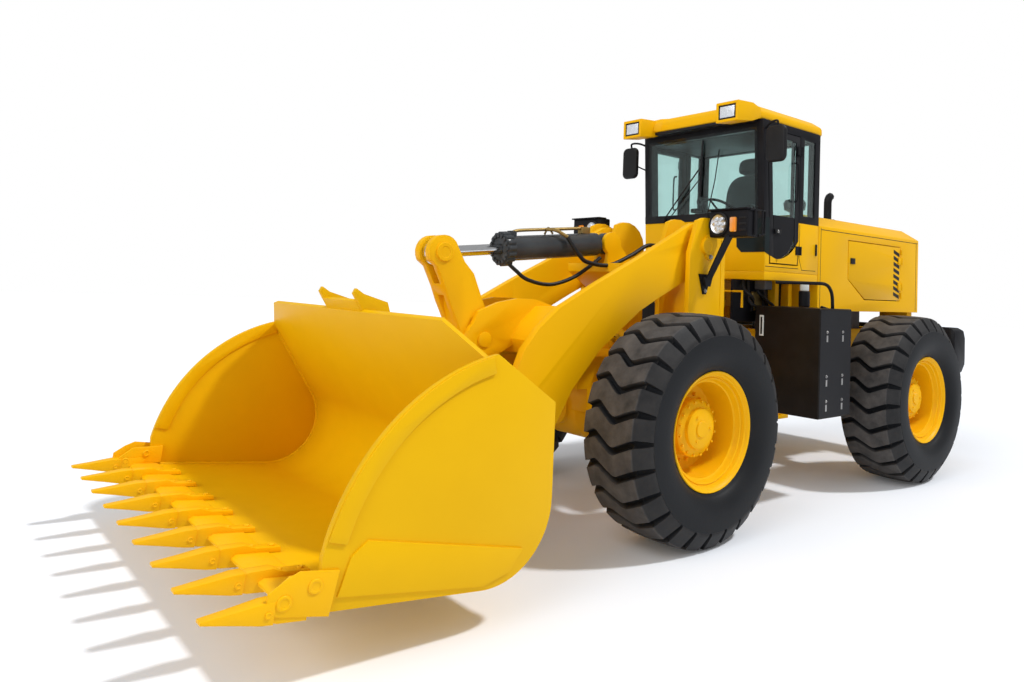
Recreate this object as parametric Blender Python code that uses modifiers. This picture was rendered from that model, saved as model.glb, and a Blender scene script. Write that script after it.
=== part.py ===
"""Articulated wheel loader with a Z-bar bucket linkage. Metres, +X forward, +Z up."""
import math

import bmesh
import bpy
from mathutils import Euler, Matrix, Vector

# Running gear
WHEELBASE = 3.26
TRACK = 2.25
TYRE_RADIUS = 0.80
TYRE_HALF_WIDTH = 0.30
TYRE_BORE = 0.33
RIM_FLANGE_RADIUS = 0.388
RIM_FLANGE_INNER_Y = 0.2405
RIM_FLANGE_OUTER_Y = 0.275
RIM_DISC_Y = -0.06
RIM_DISC_THICKNESS = 0.03
RIM_WELL_RADIUS = 0.285
HUB_RADIUS = 0.20
HUB_HEIGHT = 0.20
AXLE_TUBE_RADIUS = 0.13
AXLE_BOWL_RADIUS = 0.25
AXLE_BOWL_HALF = 0.20
AXLE_FLANGE_RADIUS = 0.19
AXLE_FLANGE_LENGTH = 0.10
WHEEL_STEPS = 28
AXLE_STEPS = 20

# Clearances
SEAT_GAP = 0.0003
PIN_CLEARANCE = 0.0008
RUN_GAP = 0.012
OVERRUN = 0.02
PIN_STEPS = 24

# Linkage pivots, as x and z
BOOM_PIVOT = (0.90, 2.13)
BUCKET_PIN = (3.10, 0.45)
ROCKER_PIN = (2.73, 1.355)
ROCKER_TOP = (3.05, 1.96)
LINK_REAR = (2.55, 0.84)
LINK_FRONT = (3.03, 0.74)
TILT_BASE = (1.42, 2.13)
LIFT_BASE = (0.45, 0.92)
LIFT_EYE = (1.95, 1.47)
STEER_BASE = (-0.62, 0.36)
STEER_EYE = (0.46, 0.40)
STEER_Z = 0.66

# Boom
ARM_INNER_Y = 0.50
ARM_THICKNESS = 0.07
ARM_REAR_RADIUS = 0.20
ARM_TIP_RADIUS = 0.12
BOOM_PIN_RADIUS = 0.06
BUCKET_PIN_RADIUS = 0.05
LUG_INNER_Y = 0.125
LUG_THICKNESS = 0.04
LUG_RADIUS = 0.15
ROCKER_PIN_RADIUS = 0.055

# Rocker and link
ROCKER_INNER_Y = 0.04
ROCKER_THICKNESS = 0.06
ROCKER_TOP_RADIUS = 0.12
ROCKER_HUB_RADIUS = 0.14
ROCKER_LOW_RADIUS = 0.10
LINK_THICKNESS = 0.07
LINK_EYE_RADIUS = 0.085
LINK_BAR_HALF = 0.055
LINK_PIN_RADIUS = 0.04

# Tilt, lift and steering cylinders
TILT_BARREL_RADIUS = 0.095
TILT_HEAD_RADIUS = 0.12
TILT_HEAD_LENGTH = 0.07
TILT_BARREL_END = 1.10
TILT_ROD_RADIUS = 0.04
TILT_ROD_START = 0.62
TILT_BORE_START = 0.14
TILT_EYE_RADIUS = 0.10
TILT_EYE_WIDTH = 0.07
LIFT_BARREL_RADIUS = 0.07
LIFT_HEAD_RADIUS = 0.085
LIFT_HEAD_LENGTH = 0.06
LIFT_BARREL_END = 1.30
LIFT_ROD_RADIUS = 0.035
LIFT_ROD_START = 0.27
LIFT_BORE_START = 0.14
LIFT_EYE_RADIUS = 0.062
LIFT_EYE_WIDTH = 0.07
LIFT_Y = 0.42
STEER_BARREL_RADIUS = 0.05
STEER_HEAD_RADIUS = 0.06
STEER_HEAD_LENGTH = 0.04
STEER_BARREL_END = 0.66
STEER_ROD_RADIUS = 0.025
STEER_ROD_START = 0.34
STEER_BORE_START = 0.09
STEER_EYE_RADIUS = 0.055
STEER_EYE_WIDTH = 0.13
BORE_GAP = 0.0006

# Front frame
TOWER_REAR_X = 0.64
TOWER_FRONT_X = 1.10
TOWER_TOP_Z = 2.37
TOWER_FOOT_Z = 0.86
SHELF_REAR_X = 0.80
TOWER_OUTER_Y = 0.655
TOWER_PLATE = 0.045
INNER_TOWER_Y = 0.29
FRONT_BOX_FRONT_X = 1.98
FRONT_BOX_REAR_X = 0.34
FRONT_BOX_TOP_Z = 1.22
FRONT_BOX_BASE_Z = 0.98
SHELF_THICKNESS = 0.07
TILT_LUG_HALF = 0.14
CROSS_BASE_Z = 1.70
CROSS_TOP_Z = 1.96
HITCH_TOP_Z = 1.20
HITCH_BASE_Z = 0.58
HITCH_PLATE = 0.07
HITCH_RADIUS = 0.15
HITCH_PIN_RADIUS = 0.05

# Rear frame
RAIL_OUTER_Y = 0.40
RAIL_THICKNESS = 0.06
RAIL_TOP_Z = 1.42
RAIL_BASE_Z = 0.98
RAIL_FRONT_X = -0.30
RAIL_REAR_X = -2.90
REAR_X = -3.22

# Bucket
BUCKET_HALF_WIDTH = 1.54
BUCKET_SIDE = 0.035
SHELL = 0.03
TOOTH_TIP_X = 4.92

# Cab
CAB_HALF_WIDTH = 0.72
CAB_WALL = 0.06
CAB_FRONT_TOP_X = 0.24
CAB_FRONT_KNEE_X = 0.17
CAB_REAR_X = -0.70
CAB_B_PILLAR_X = -0.36
CAB_FLOOR_Z = 1.96
CAB_KNEE_Z = 2.11
CAB_TOP_Z = 3.31
PILLAR = 0.07
ROOF_TOP_Z = 3.45
ROOF_FRONT_X = 0.58
ROOF_REAR_X = -0.84
ROOF_HALF_WIDTH = 0.70
PLATFORM_BASE_Z = 1.885

# Hood
HOOD_FRONT_X = -0.74
HOOD_REAR_X = -2.86
HOOD_HALF_WIDTH = 0.70
HOOD_SHOULDER_HALF = 0.50
HOOD_BASE_Z = 1.62
HOOD_SHOULDER_Z = 2.44
HOOD_RIDGE_Z = 2.56
HOOD_REAR_DROP = 0.12
HOOD_WALL = 0.04
HOOD_RADIATOR_Z = 2.40

# Tanks, counterweight, lamps and small fittings
TANK_FRONT_X = 0.04
TANK_REAR_X = -0.48
TANK_INNER_Y = 0.52
TANK_OUTER_Y = 1.20
TANK_BASE_Z = 0.72
TANK_TOP_Z = 1.655
COUNTERWEIGHT_HALF = 1.10
COUNTERWEIGHT_BASE_Z = 0.82
COUNTERWEIGHT_TOP_Z = 1.47
COUNTERWEIGHT_WING_X = 0.42
LAMP_REAR_X = 0.72
LAMP_DEPTH = 0.18
LAMP_INNER_Y = 0.70
LAMP_OUTER_Y = 1.06
LAMP_BASE_Z = 2.20
LAMP_TOP_Z = 2.44
EXHAUST_X = -2.08
EXHAUST_RADIUS = 0.045
EXHAUST_TOP_Z = 2.93
EXHAUST_MUFFLER_RADIUS = 0.085
MIRROR_X = 0.27
MIRROR_Y = 0.88
MIRROR_WIDTH = 0.20
MIRROR_HEIGHT = 0.32
MIRROR_DEPTH = 0.05
MIRROR_Z = 3.06

FRONT_AXLE_X = WHEELBASE / 2
REAR_AXLE_X = -WHEELBASE / 2
WHEEL_Y = TRACK / 2
AXLE_Z = TYRE_RADIUS
ORIGIN_X = (TOOTH_TIP_X + REAR_X) / 2

WHEELS = (
    # name, axle x, side
    ("front_left", FRONT_AXLE_X, 1),
    ("front_right", FRONT_AXLE_X, -1),
    ("rear_left", REAR_AXLE_X, 1),
    ("rear_right", REAR_AXLE_X, -1),
)
SIDES = (("left", 1), ("right", -1))


def pivot_places():
    """The joint axis that each moving body turns about or slides along, as x, y and z."""
    places = {"rear": (0, 0, 0), "front": (0, 0, 0)}
    for name, x, side in WHEELS:
        places["wheel_" + name] = (x, side * WHEEL_Y, AXLE_Z)
    for body, (x, z) in (
        ("boom", BOOM_PIVOT), ("bucket", BUCKET_PIN), ("rocker", ROCKER_PIN), ("link", LINK_REAR),
        ("tilt_barrel", TILT_BASE), ("tilt_rod", ROCKER_TOP),
    ):
        places[body] = (x, 0, z)
    for word, side in SIDES:
        places["lift_barrel_" + word] = (LIFT_BASE[0], side * LIFT_Y, LIFT_BASE[1])
        places["lift_rod_" + word] = (LIFT_EYE[0], side * LIFT_Y, LIFT_EYE[1])
        places["steer_barrel_" + word] = (STEER_BASE[0], side * STEER_BASE[1], STEER_Z)
        places["steer_rod_" + word] = (STEER_EYE[0], side * STEER_EYE[1], STEER_Z)
        stand = KNUCKLE_RADIUS + SEAT_GAP
        places["cab_door_" + word] = (
            CAB_B_PILLAR_X - KNUCKLE_RADIUS, side * (CAB_HALF_WIDTH + stand), 0)
        places["engine_door_" + word] = (
            DOOR_REAR_X - KNUCKLE_RADIUS, side * (HOOD_HALF_WIDTH + stand), 0)
    return places


DOOR_FRONT_X = -1.30
DOOR_REAR_X = -2.42
DOOR_BASE_Z = 1.74
DOOR_TOP_Z = 2.34
DOOR_SLANT = 0.34
DOOR_GAP = 0.008
KNUCKLE_RADIUS = 0.013
KNUCKLE_LENGTH = 0.08
HINGE_LEAF = 0.05


# Scene and materials

def clear_scene():
    for old in list(bpy.data.objects):
        bpy.data.objects.remove(old, do_unlink=True)


def make_collections():
    parts = bpy.data.collections.new("wheel_loader")
    cutters = bpy.data.collections.new("cutters")
    for collection in (parts, cutters):
        bpy.context.scene.collection.children.link(collection)
    return parts, cutters


def surface(name, colour, roughness, metallic):
    material = bpy.data.materials.new(name)
    material.use_nodes = True
    shader = material.node_tree.nodes["Principled BSDF"]
    shader.inputs["Base Color"].default_value = (*colour, 1.0)
    shader.inputs["Roughness"].default_value = roughness
    shader.inputs["Metallic"].default_value = metallic
    return material


def make_materials():
    return {
        "yellow": surface("yellow_paint", (0.90, 0.50, 0.01), 0.35, 0.0),
        "black": surface("black_paint", (0.03, 0.03, 0.03), 0.5, 0.0),
        "rubber": surface("rubber", (0.04, 0.04, 0.045), 0.85, 0.0),
        "chrome": surface("chrome", (0.80, 0.80, 0.82), 0.12, 1.0),
        "steel": surface("bare_steel", (0.42, 0.41, 0.40), 0.45, 0.9),
        "seat": surface("seat_cloth", (0.05, 0.05, 0.06), 0.9, 0.0),
    }


# Shape helpers

def arc(centre, radius, start, end, count):
    """Points on an arc, angles in degrees."""
    points = []
    for index in range(count + 1):
        angle = math.radians(start + (end - start) * index / count)
        points.append((centre[0] + radius * math.cos(angle), centre[1] + radius * math.sin(angle)))
    return points


def between(shares, low, high):
    """Points given as shares of the box from low to high."""
    return [
        (low[0] + share_x * (high[0] - low[0]), low[1] + share_z * (high[1] - low[1]))
        for share_x, share_z in shares
    ]


def along(start, end, distance, offset=0):
    """A point a distance along the line from start to end, moved sideways by offset."""
    length = math.dist(start, end)
    step = ((end[0] - start[0]) / length, (end[1] - start[1]) / length)
    return (
        start[0] + step[0] * distance - step[1] * offset,
        start[1] + step[1] * distance + step[0] * offset,
    )


TURNS = {
    "XZ": (math.pi / 2, 0, 0),
    "YZ": (math.pi / 2, 0, math.pi / 2),
    "XY": (0, 0, 0),
}
AXIS_TURNS = {
    "X": (0, math.pi / 2, 0),
    "Y": (-math.pi / 2, 0, 0),
    "-Y": (math.pi / 2, 0, 0),
    "Z": (0, 0, 0),
}


class Builder:
    """Holds the collections, materials and joint places while the pieces are made."""

    def __init__(self):
        clear_scene()
        self.parts, self.cutters = make_collections()
        self.materials = make_materials()
        self.places = pivot_places()
        self.machine = bpy.data.objects.new("machine", None)
        self.machine.location = (-ORIGIN_X, 0, 0)
        self.parts.objects.link(self.machine)
        self.empties = {}
        for body, place in self.places.items():
            empty = bpy.data.objects.new("joint_" + body, None)
            empty.location = place
            empty.parent = self.machine
            self.parts.objects.link(empty)
            self.empties[body] = empty

    def put(self, name, mesh, body, material, location=(0, 0, 0), rotation=(0, 0, 0)):
        piece = bpy.data.objects.new(name, mesh)
        self.parts.objects.link(piece)
        piece.parent = self.empties[body]
        piece.location = Vector(location) - Vector(self.places[body])
        piece.rotation_euler = rotation
        mesh.materials.clear()
        mesh.materials.append(self.materials[material])
        return piece

    def flat(self, name, points, middle, thickness, body, material, plane="XZ"):
        """An outline of straight sides and arcs, given a thickness."""
        curve = bpy.data.curves.new(name, "CURVE")
        curve.dimensions = "2D"
        curve.fill_mode = "BOTH"
        curve.extrude = thickness / 2
        spline = curve.splines.new("POLY")
        spline.points.add(len(points) - 1)
        for point, (across, up) in zip(spline.points, points):
            point.co = (across, up, 0, 1)
        spline.use_cyclic_u = True
        mesh = self.curve_mesh(curve)
        location = {"XZ": (0, middle, 0), "YZ": (middle, 0, 0), "XY": (0, 0, middle)}[plane]
        return self.put(name, mesh, body, material, location, TURNS[plane])

    def tube(self, name, points, radius, body, material, resolution=2):
        curve = bpy.data.curves.new(name, "CURVE")
        curve.dimensions = "3D"
        curve.bevel_depth = radius
        curve.bevel_resolution = resolution
        curve.use_fill_caps = True
        spline = curve.splines.new("POLY")
        spline.points.add(len(points) - 1)
        for point, place in zip(spline.points, points):
            point.co = (*place, 1)
        return self.put(name, self.curve_mesh(curve), body, material)

    def curve_mesh(self, curve):
        holder = bpy.data.objects.new(curve.name, curve)
        bpy.context.scene.collection.objects.link(holder)
        graph = bpy.context.evaluated_depsgraph_get()
        mesh = bpy.data.meshes.new_from_object(holder.evaluated_get(graph))
        bpy.data.objects.remove(holder, do_unlink=True)
        work = bmesh.new()
        work.from_mesh(mesh)
        bmesh.ops.remove_doubles(work, verts=work.verts, dist=SEAT_GAP / 3)
        bmesh.ops.recalc_face_normals(work, faces=work.faces)
        work.to_mesh(mesh)
        work.free()
        return mesh

    def box(self, name, low, high, body, material, bevel=0, segments=2):
        mesh = bpy.data.meshes.new(name)
        work = bmesh.new()
        bmesh.ops.create_cube(work, size=1)
        size = [end - start for start, end in zip(low, high)]
        bmesh.ops.scale(work, vec=size, verts=work.verts)
        work.to_mesh(mesh)
        work.free()
        centre = [(start + end) / 2 for start, end in zip(low, high)]
        piece = self.put(name, mesh, body, material, centre)
        if bevel:
            self.round_edges(piece, bevel, segments)
        return piece

    def round_edges(self, piece, width, segments=2):
        bevel = piece.modifiers.new("rounded", "BEVEL")
        bevel.width = width
        bevel.segments = segments
        bevel.limit_method = "ANGLE"
        return bevel

    def cylinder(self, name, radius, ends, place, axis, body, material, steps=PIN_STEPS):
        """A round bar along an axis, from ends[0] to ends[1] measured from place."""
        mesh = bpy.data.meshes.new(name)
        work = bmesh.new()
        bmesh.ops.create_cone(
            work, cap_ends=True, segments=steps, radius1=radius, radius2=radius,
            depth=ends[1] - ends[0],
        )
        bmesh.ops.translate(work, vec=(0, 0, (ends[0] + ends[1]) / 2), verts=work.verts)
        work.to_mesh(mesh)
        work.free()
        rotation = AXIS_TURNS[axis] if isinstance(axis, str) else axis
        piece = self.put(name, mesh, body, material, place, rotation)
        self.smooth(piece)
        return piece

    def turned(self, name, profile, place, axis, body, material, steps, closed=False):
        """A profile of (radius, height) points, top to bottom, turned about its axis."""
        mesh = bpy.data.meshes.new(name)
        points = [(radius, 0, height) for radius, height in profile]
        edges = [(index, index + 1) for index in range(len(points) - 1)]
        if closed:
            edges.append((len(points) - 1, 0))
        mesh.from_pydata(points, edges, [])
        rotation = AXIS_TURNS[axis] if isinstance(axis, str) else axis
        piece = self.put(name, mesh, body, material, place, rotation)
        screw = piece.modifiers.new("turned", "SCREW")
        screw.axis = "Z"
        screw.steps = steps
        screw.render_steps = steps
        screw.use_merge_vertices = True
        screw.merge_threshold = 0.0001
        screw.use_smooth_shade = True
        return piece

    def smooth(self, piece):
        piece.data.shade_smooth()
        piece.data.set_sharp_from_angle(angle=math.radians(35))

    def hide_tool(self, tool):
        self.parts.objects.unlink(tool)
        self.cutters.objects.link(tool)
        tool.hide_render = True
        tool.display_type = "WIRE"

    def combine(self, piece, tools, operation):
        for tool in tools:
            self.hide_tool(tool)
            modifier = piece.modifiers.new(operation.lower(), "BOOLEAN")
            modifier.operation = operation
            modifier.solver = "EXACT"
            modifier.object = tool

    def fuse(self, piece, *tools):
        self.combine(piece, tools, "UNION")

    def cut(self, piece, *tools):
        self.combine(piece, tools, "DIFFERENCE")


# Wheels and axles

def tyre_profile():
    """Closed section of a wide earthmover tyre, bead to bead over the tread."""
    shares = (
        # share of the height from bore to tread, share of the half width
        (1.00, 0.72), (0.955, 0.885), (0.86, 0.935), (0.70, 0.985), (0.49, 1.00),
        (0.30, 0.96), (0.17, 0.875), (0.135, 0.80), (0.0, 0.75),
    )
    height = TYRE_RADIUS - TYRE_BORE
    outer = [(TYRE_BORE + up * height, out * TYRE_HALF_WIDTH) for up, out in shares]
    upper = list(reversed(outer))
    lower = [(radius, -out) for radius, out in outer]
    return upper + lower


def rim_profile():
    """Deep dish rim with its planetary hub, from the hub's face out and round to the back."""
    seat = TYRE_BORE - SEAT_GAP
    disc_top = RIM_DISC_Y
    disc_low = RIM_DISC_Y - RIM_DISC_THICKNESS
    lip = RIM_FLANGE_OUTER_Y - RIM_FLANGE_INNER_Y
    wall = RIM_WELL_RADIUS + lip
    hub_face = RIM_DISC_Y + HUB_HEIGHT
    return [
        (0, hub_face), (HUB_RADIUS * 0.62, hub_face), (HUB_RADIUS * 0.70, hub_face - lip),
        (HUB_RADIUS, hub_face - lip * 1.4), (HUB_RADIUS, disc_top),
        (RIM_WELL_RADIUS - lip, disc_top), (RIM_WELL_RADIUS, disc_top + lip),
        (RIM_WELL_RADIUS, RIM_FLANGE_INNER_Y - 2.6 * lip),
        (wall, RIM_FLANGE_INNER_Y - lip), (RIM_FLANGE_RADIUS - lip, RIM_FLANGE_OUTER_Y - lip / 3),
        (RIM_FLANGE_RADIUS - lip / 3, RIM_FLANGE_OUTER_Y),
        (RIM_FLANGE_RADIUS, RIM_FLANGE_OUTER_Y - lip / 3),
        (RIM_FLANGE_RADIUS, RIM_FLANGE_INNER_Y), (seat, RIM_FLANGE_INNER_Y),
        (seat, -RIM_FLANGE_INNER_Y), (RIM_FLANGE_RADIUS, -RIM_FLANGE_INNER_Y),
        (RIM_FLANGE_RADIUS, -RIM_FLANGE_OUTER_Y), (wall, -RIM_FLANGE_INNER_Y - lip / 3),
        (RIM_WELL_RADIUS, -RIM_FLANGE_INNER_Y + lip), (RIM_WELL_RADIUS, disc_low), (0, disc_low),
    ]


def make_wheels(build):
    for name, x, side in WHEELS:
        place = (x, side * WHEEL_Y, AXLE_Z)
        axis = "Y" if side > 0 else "-Y"
        body = "wheel_" + name
        build.turned("tyre_" + name, tyre_profile(), place, axis, body, "rubber", WHEEL_STEPS, True)
        build.turned("rim_" + name, rim_profile(), place, axis, body, "yellow", WHEEL_STEPS)


def axle_profile():
    """Drive axle housing from one hub flange to the other."""
    end = WHEEL_Y + RIM_DISC_Y - RIM_DISC_THICKNESS - SEAT_GAP
    half = [
        (0, end), (AXLE_FLANGE_RADIUS, end), (AXLE_FLANGE_RADIUS, end - AXLE_FLANGE_LENGTH),
        (AXLE_TUBE_RADIUS, end - 2 * AXLE_FLANGE_LENGTH), (AXLE_TUBE_RADIUS, 2 * AXLE_BOWL_HALF),
        (AXLE_BOWL_RADIUS, AXLE_BOWL_HALF),
    ]
    return half + [(radius, -out) for radius, out in reversed(half)]


def make_axles(build):
    for name, body, x in (("front_axle", "front", FRONT_AXLE_X), ("rear_axle", "rear", REAR_AXLE_X)):
        piece = build.turned(name, axle_profile(), (x, 0, AXLE_Z), "Y", body, "yellow", AXLE_STEPS)
        nose = build.cylinder(
            name + "_input", AXLE_TUBE_RADIUS, (-AXLE_BOWL_RADIUS * 1.5, AXLE_BOWL_RADIUS * 1.1),
            (x, 0, AXLE_Z), "X", body, "yellow", AXLE_STEPS,
        )
        build.fuse(piece, nose)


# Front frame

def tower_outline():
    shares = (
        # share from rear edge to front edge, share from foot to top
        (-0.12, 0.0), (1.45, 0.0), (1.45, 0.12), (1.0, 0.34), (1.0, 0.80),
    )
    low = (TOWER_REAR_X, TOWER_FOOT_Z)
    high = (TOWER_FRONT_X, TOWER_TOP_Z)
    crown = (TOWER_TOP_Z - BOOM_PIVOT[1])
    rear = (BOOM_PIVOT[0] - TOWER_REAR_X) * 0.95
    top = arc((TOWER_REAR_X + rear, TOWER_TOP_Z - crown), crown, 60, 175, 6)
    return between(shares, low, high) + top + between(((0.0, 0.25),), low, high)


def make_front_frame(build):
    body = "front"
    rear = (FRONT_BOX_REAR_X, -RAIL_OUTER_Y, FRONT_BOX_BASE_Z)
    front = (FRONT_BOX_FRONT_X, RAIL_OUTER_Y, FRONT_BOX_TOP_Z)
    half = INNER_TOWER_Y + TOWER_PLATE
    frame = build.box(
        "front_frame", (rear[0], -half, rear[2]), (front[0], half, front[2]), body, "yellow",
    )
    outline = tower_outline()
    tools = []
    for word, side in SIDES:
        middle = TOWER_OUTER_Y - TOWER_PLATE / 2
        tools.append(build.flat("tower_outer_" + word, outline, side * middle, TOWER_PLATE, body,
                                "yellow"))
        middle = INNER_TOWER_Y + TOWER_PLATE / 2
        tools.append(build.flat("tower_inner_" + word, outline, side * middle, TOWER_PLATE, body,
                                "yellow"))
        tools.append(build.box(
            "shelf_" + word,
            (SHELF_REAR_X, min(side * INNER_TOWER_Y, side * (TOWER_OUTER_Y - OVERRUN)),
             TOWER_FOOT_Z + SEAT_GAP),
            (TOWER_FRONT_X, max(side * INNER_TOWER_Y, side * (TOWER_OUTER_Y - OVERRUN)),
             TOWER_FOOT_Z + SHELF_THICKNESS), body, "yellow",
        ))
        tools.append(build.cylinder(
            "boom_pin_" + word, BOOM_PIN_RADIUS, (INNER_TOWER_Y + OVERRUN, TOWER_OUTER_Y + OVERRUN),
            (BOOM_PIVOT[0], 0, BOOM_PIVOT[1]), "Y" if side > 0 else "-Y", body, "yellow",
        ))
        tools.append(build.cylinder(
            "lift_pin_" + word, LIFT_ROD_RADIUS,
            (INNER_TOWER_Y + OVERRUN, LIFT_Y - LIFT_EYE_WIDTH / 2 - SEAT_GAP),
            (LIFT_BASE[0], 0, LIFT_BASE[1]), "Y" if side > 0 else "-Y", body, "yellow", AXLE_STEPS,
        ))
        lug_y = side * (TILT_EYE_WIDTH / 2 + RUN_GAP + LUG_THICKNESS / 2)
        lug = [(TILT_BASE[0] + TILT_EYE_RADIUS / 2, CROSS_TOP_Z - OVERRUN)]
        lug += arc(TILT_BASE, TILT_EYE_RADIUS * 0.95, -60, 190, 12)
        lug += [(TILT_BASE[0] - 2 * TILT_LUG_HALF, CROSS_TOP_Z - OVERRUN)]
        tools.append(build.flat("tilt_lug_" + word, lug, lug_y, LUG_THICKNESS, body, "yellow"))
    cross = [
        (BOOM_PIVOT[0] - TILT_LUG_HALF, CROSS_BASE_Z), (TOWER_FRONT_X + TILT_LUG_HALF, CROSS_BASE_Z),
        (TILT_BASE[0] + TILT_LUG_HALF, CROSS_TOP_Z - SHELF_THICKNESS),
        (TILT_BASE[0] + TILT_LUG_HALF, CROSS_TOP_Z), (BOOM_PIVOT[0] - TILT_LUG_HALF, CROSS_TOP_Z),
    ]
    tools.append(build.flat("tower_cross", cross, 0, 2 * INNER_TOWER_Y + TOWER_PLATE, body, "yellow"))
    tools.append(build.box(
        "axle_seat", (FRONT_AXLE_X - AXLE_BOWL_RADIUS, -half, AXLE_Z),
        (FRONT_AXLE_X + AXLE_BOWL_RADIUS, half, FRONT_BOX_BASE_Z + OVERRUN), body, "yellow",
    ))
    for word, z in (("top", HITCH_TOP_Z), ("base", HITCH_BASE_Z)):
        outline = arc((0, 0), HITCH_RADIUS, 90, 270, 12)
        outline += [(FRONT_BOX_REAR_X + HITCH_RADIUS, -half * 0.7),
                    (FRONT_BOX_REAR_X + HITCH_RADIUS, half * 0.7)]
        tools.append(build.flat("hitch_" + word, outline, z - HITCH_PLATE / 2, HITCH_PLATE, body,
                                "yellow", "XY"))
    tools.append(build.box(
        "hitch_web", (FRONT_BOX_REAR_X, -half * 0.7, HITCH_BASE_Z - HITCH_PLATE),
        (FRONT_BOX_REAR_X + HITCH_RADIUS, half * 0.7, FRONT_BOX_BASE_Z + OVERRUN), body, "yellow",
    ))
    tools.append(build.box(
        "lift_hanger", (FRONT_BOX_REAR_X + OVERRUN, -half + OVERRUN / 4, LIFT_BASE[1] - LIFT_EYE_RADIUS),
        (LIFT_BASE[0] + 2 * LIFT_EYE_RADIUS, half - OVERRUN / 4, FRONT_BOX_BASE_Z + OVERRUN), body, "yellow",
    ))
    for word, side in SIDES:
        tools.append(build.box(
            "steer_lug_" + word,
            (STEER_EYE[0] - STEER_EYE_RADIUS, min(side * half * 0.6, side * (STEER_EYE[1] + STEER_EYE_RADIUS)),
             STEER_Z - STEER_EYE_WIDTH / 2 - SEAT_GAP - SHELF_THICKNESS / 2),
            (STEER_EYE[0] + STEER_EYE_RADIUS, max(side * half * 0.6, side * (STEER_EYE[1] + STEER_EYE_RADIUS)),
             STEER_Z - STEER_EYE_WIDTH / 2 - SEAT_GAP), body, "yellow",
        ))
    build.fuse(frame, *tools)
    seat = build.cylinder(
        "axle_seat_cutter", AXLE_TUBE_RADIUS + SEAT_GAP, (-WHEEL_Y, WHEEL_Y),
        (FRONT_AXLE_X, 0, AXLE_Z), "Y", body, "yellow", AXLE_STEPS,
    )
    bowl = build.turned(
        "axle_bowl_cutter",
        [(0, 2 * AXLE_BOWL_HALF), (AXLE_TUBE_RADIUS + SEAT_GAP, 2 * AXLE_BOWL_HALF + SEAT_GAP),
         (AXLE_BOWL_RADIUS + SEAT_GAP, AXLE_BOWL_HALF), (AXLE_BOWL_RADIUS + SEAT_GAP, -AXLE_BOWL_HALF),
         (AXLE_TUBE_RADIUS + SEAT_GAP, -2 * AXLE_BOWL_HALF - SEAT_GAP), (0, -2 * AXLE_BOWL_HALF)],
        (FRONT_AXLE_X, 0, AXLE_Z), "Y", body, "yellow", AXLE_STEPS,
    )
    nose = build.cylinder(
        "axle_nose_cutter", AXLE_TUBE_RADIUS + SEAT_GAP * 2, (-AXLE_BOWL_RADIUS * 1.6, AXLE_BOWL_RADIUS * 1.2),
        (FRONT_AXLE_X, 0, AXLE_Z), "X", body, "yellow", AXLE_STEPS,
    )
    build.cut(frame, seat, bowl, nose)
    hitch_bore = build.cylinder(
        "hitch_bore_cutter", HITCH_PIN_RADIUS + PIN_CLEARANCE, (0, FRONT_BOX_TOP_Z + HITCH_PLATE),
        (0, 0, 0), "Z", body, "yellow",
    )
    build.cut(frame, hitch_bore)
    return frame


# Rear frame

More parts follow.
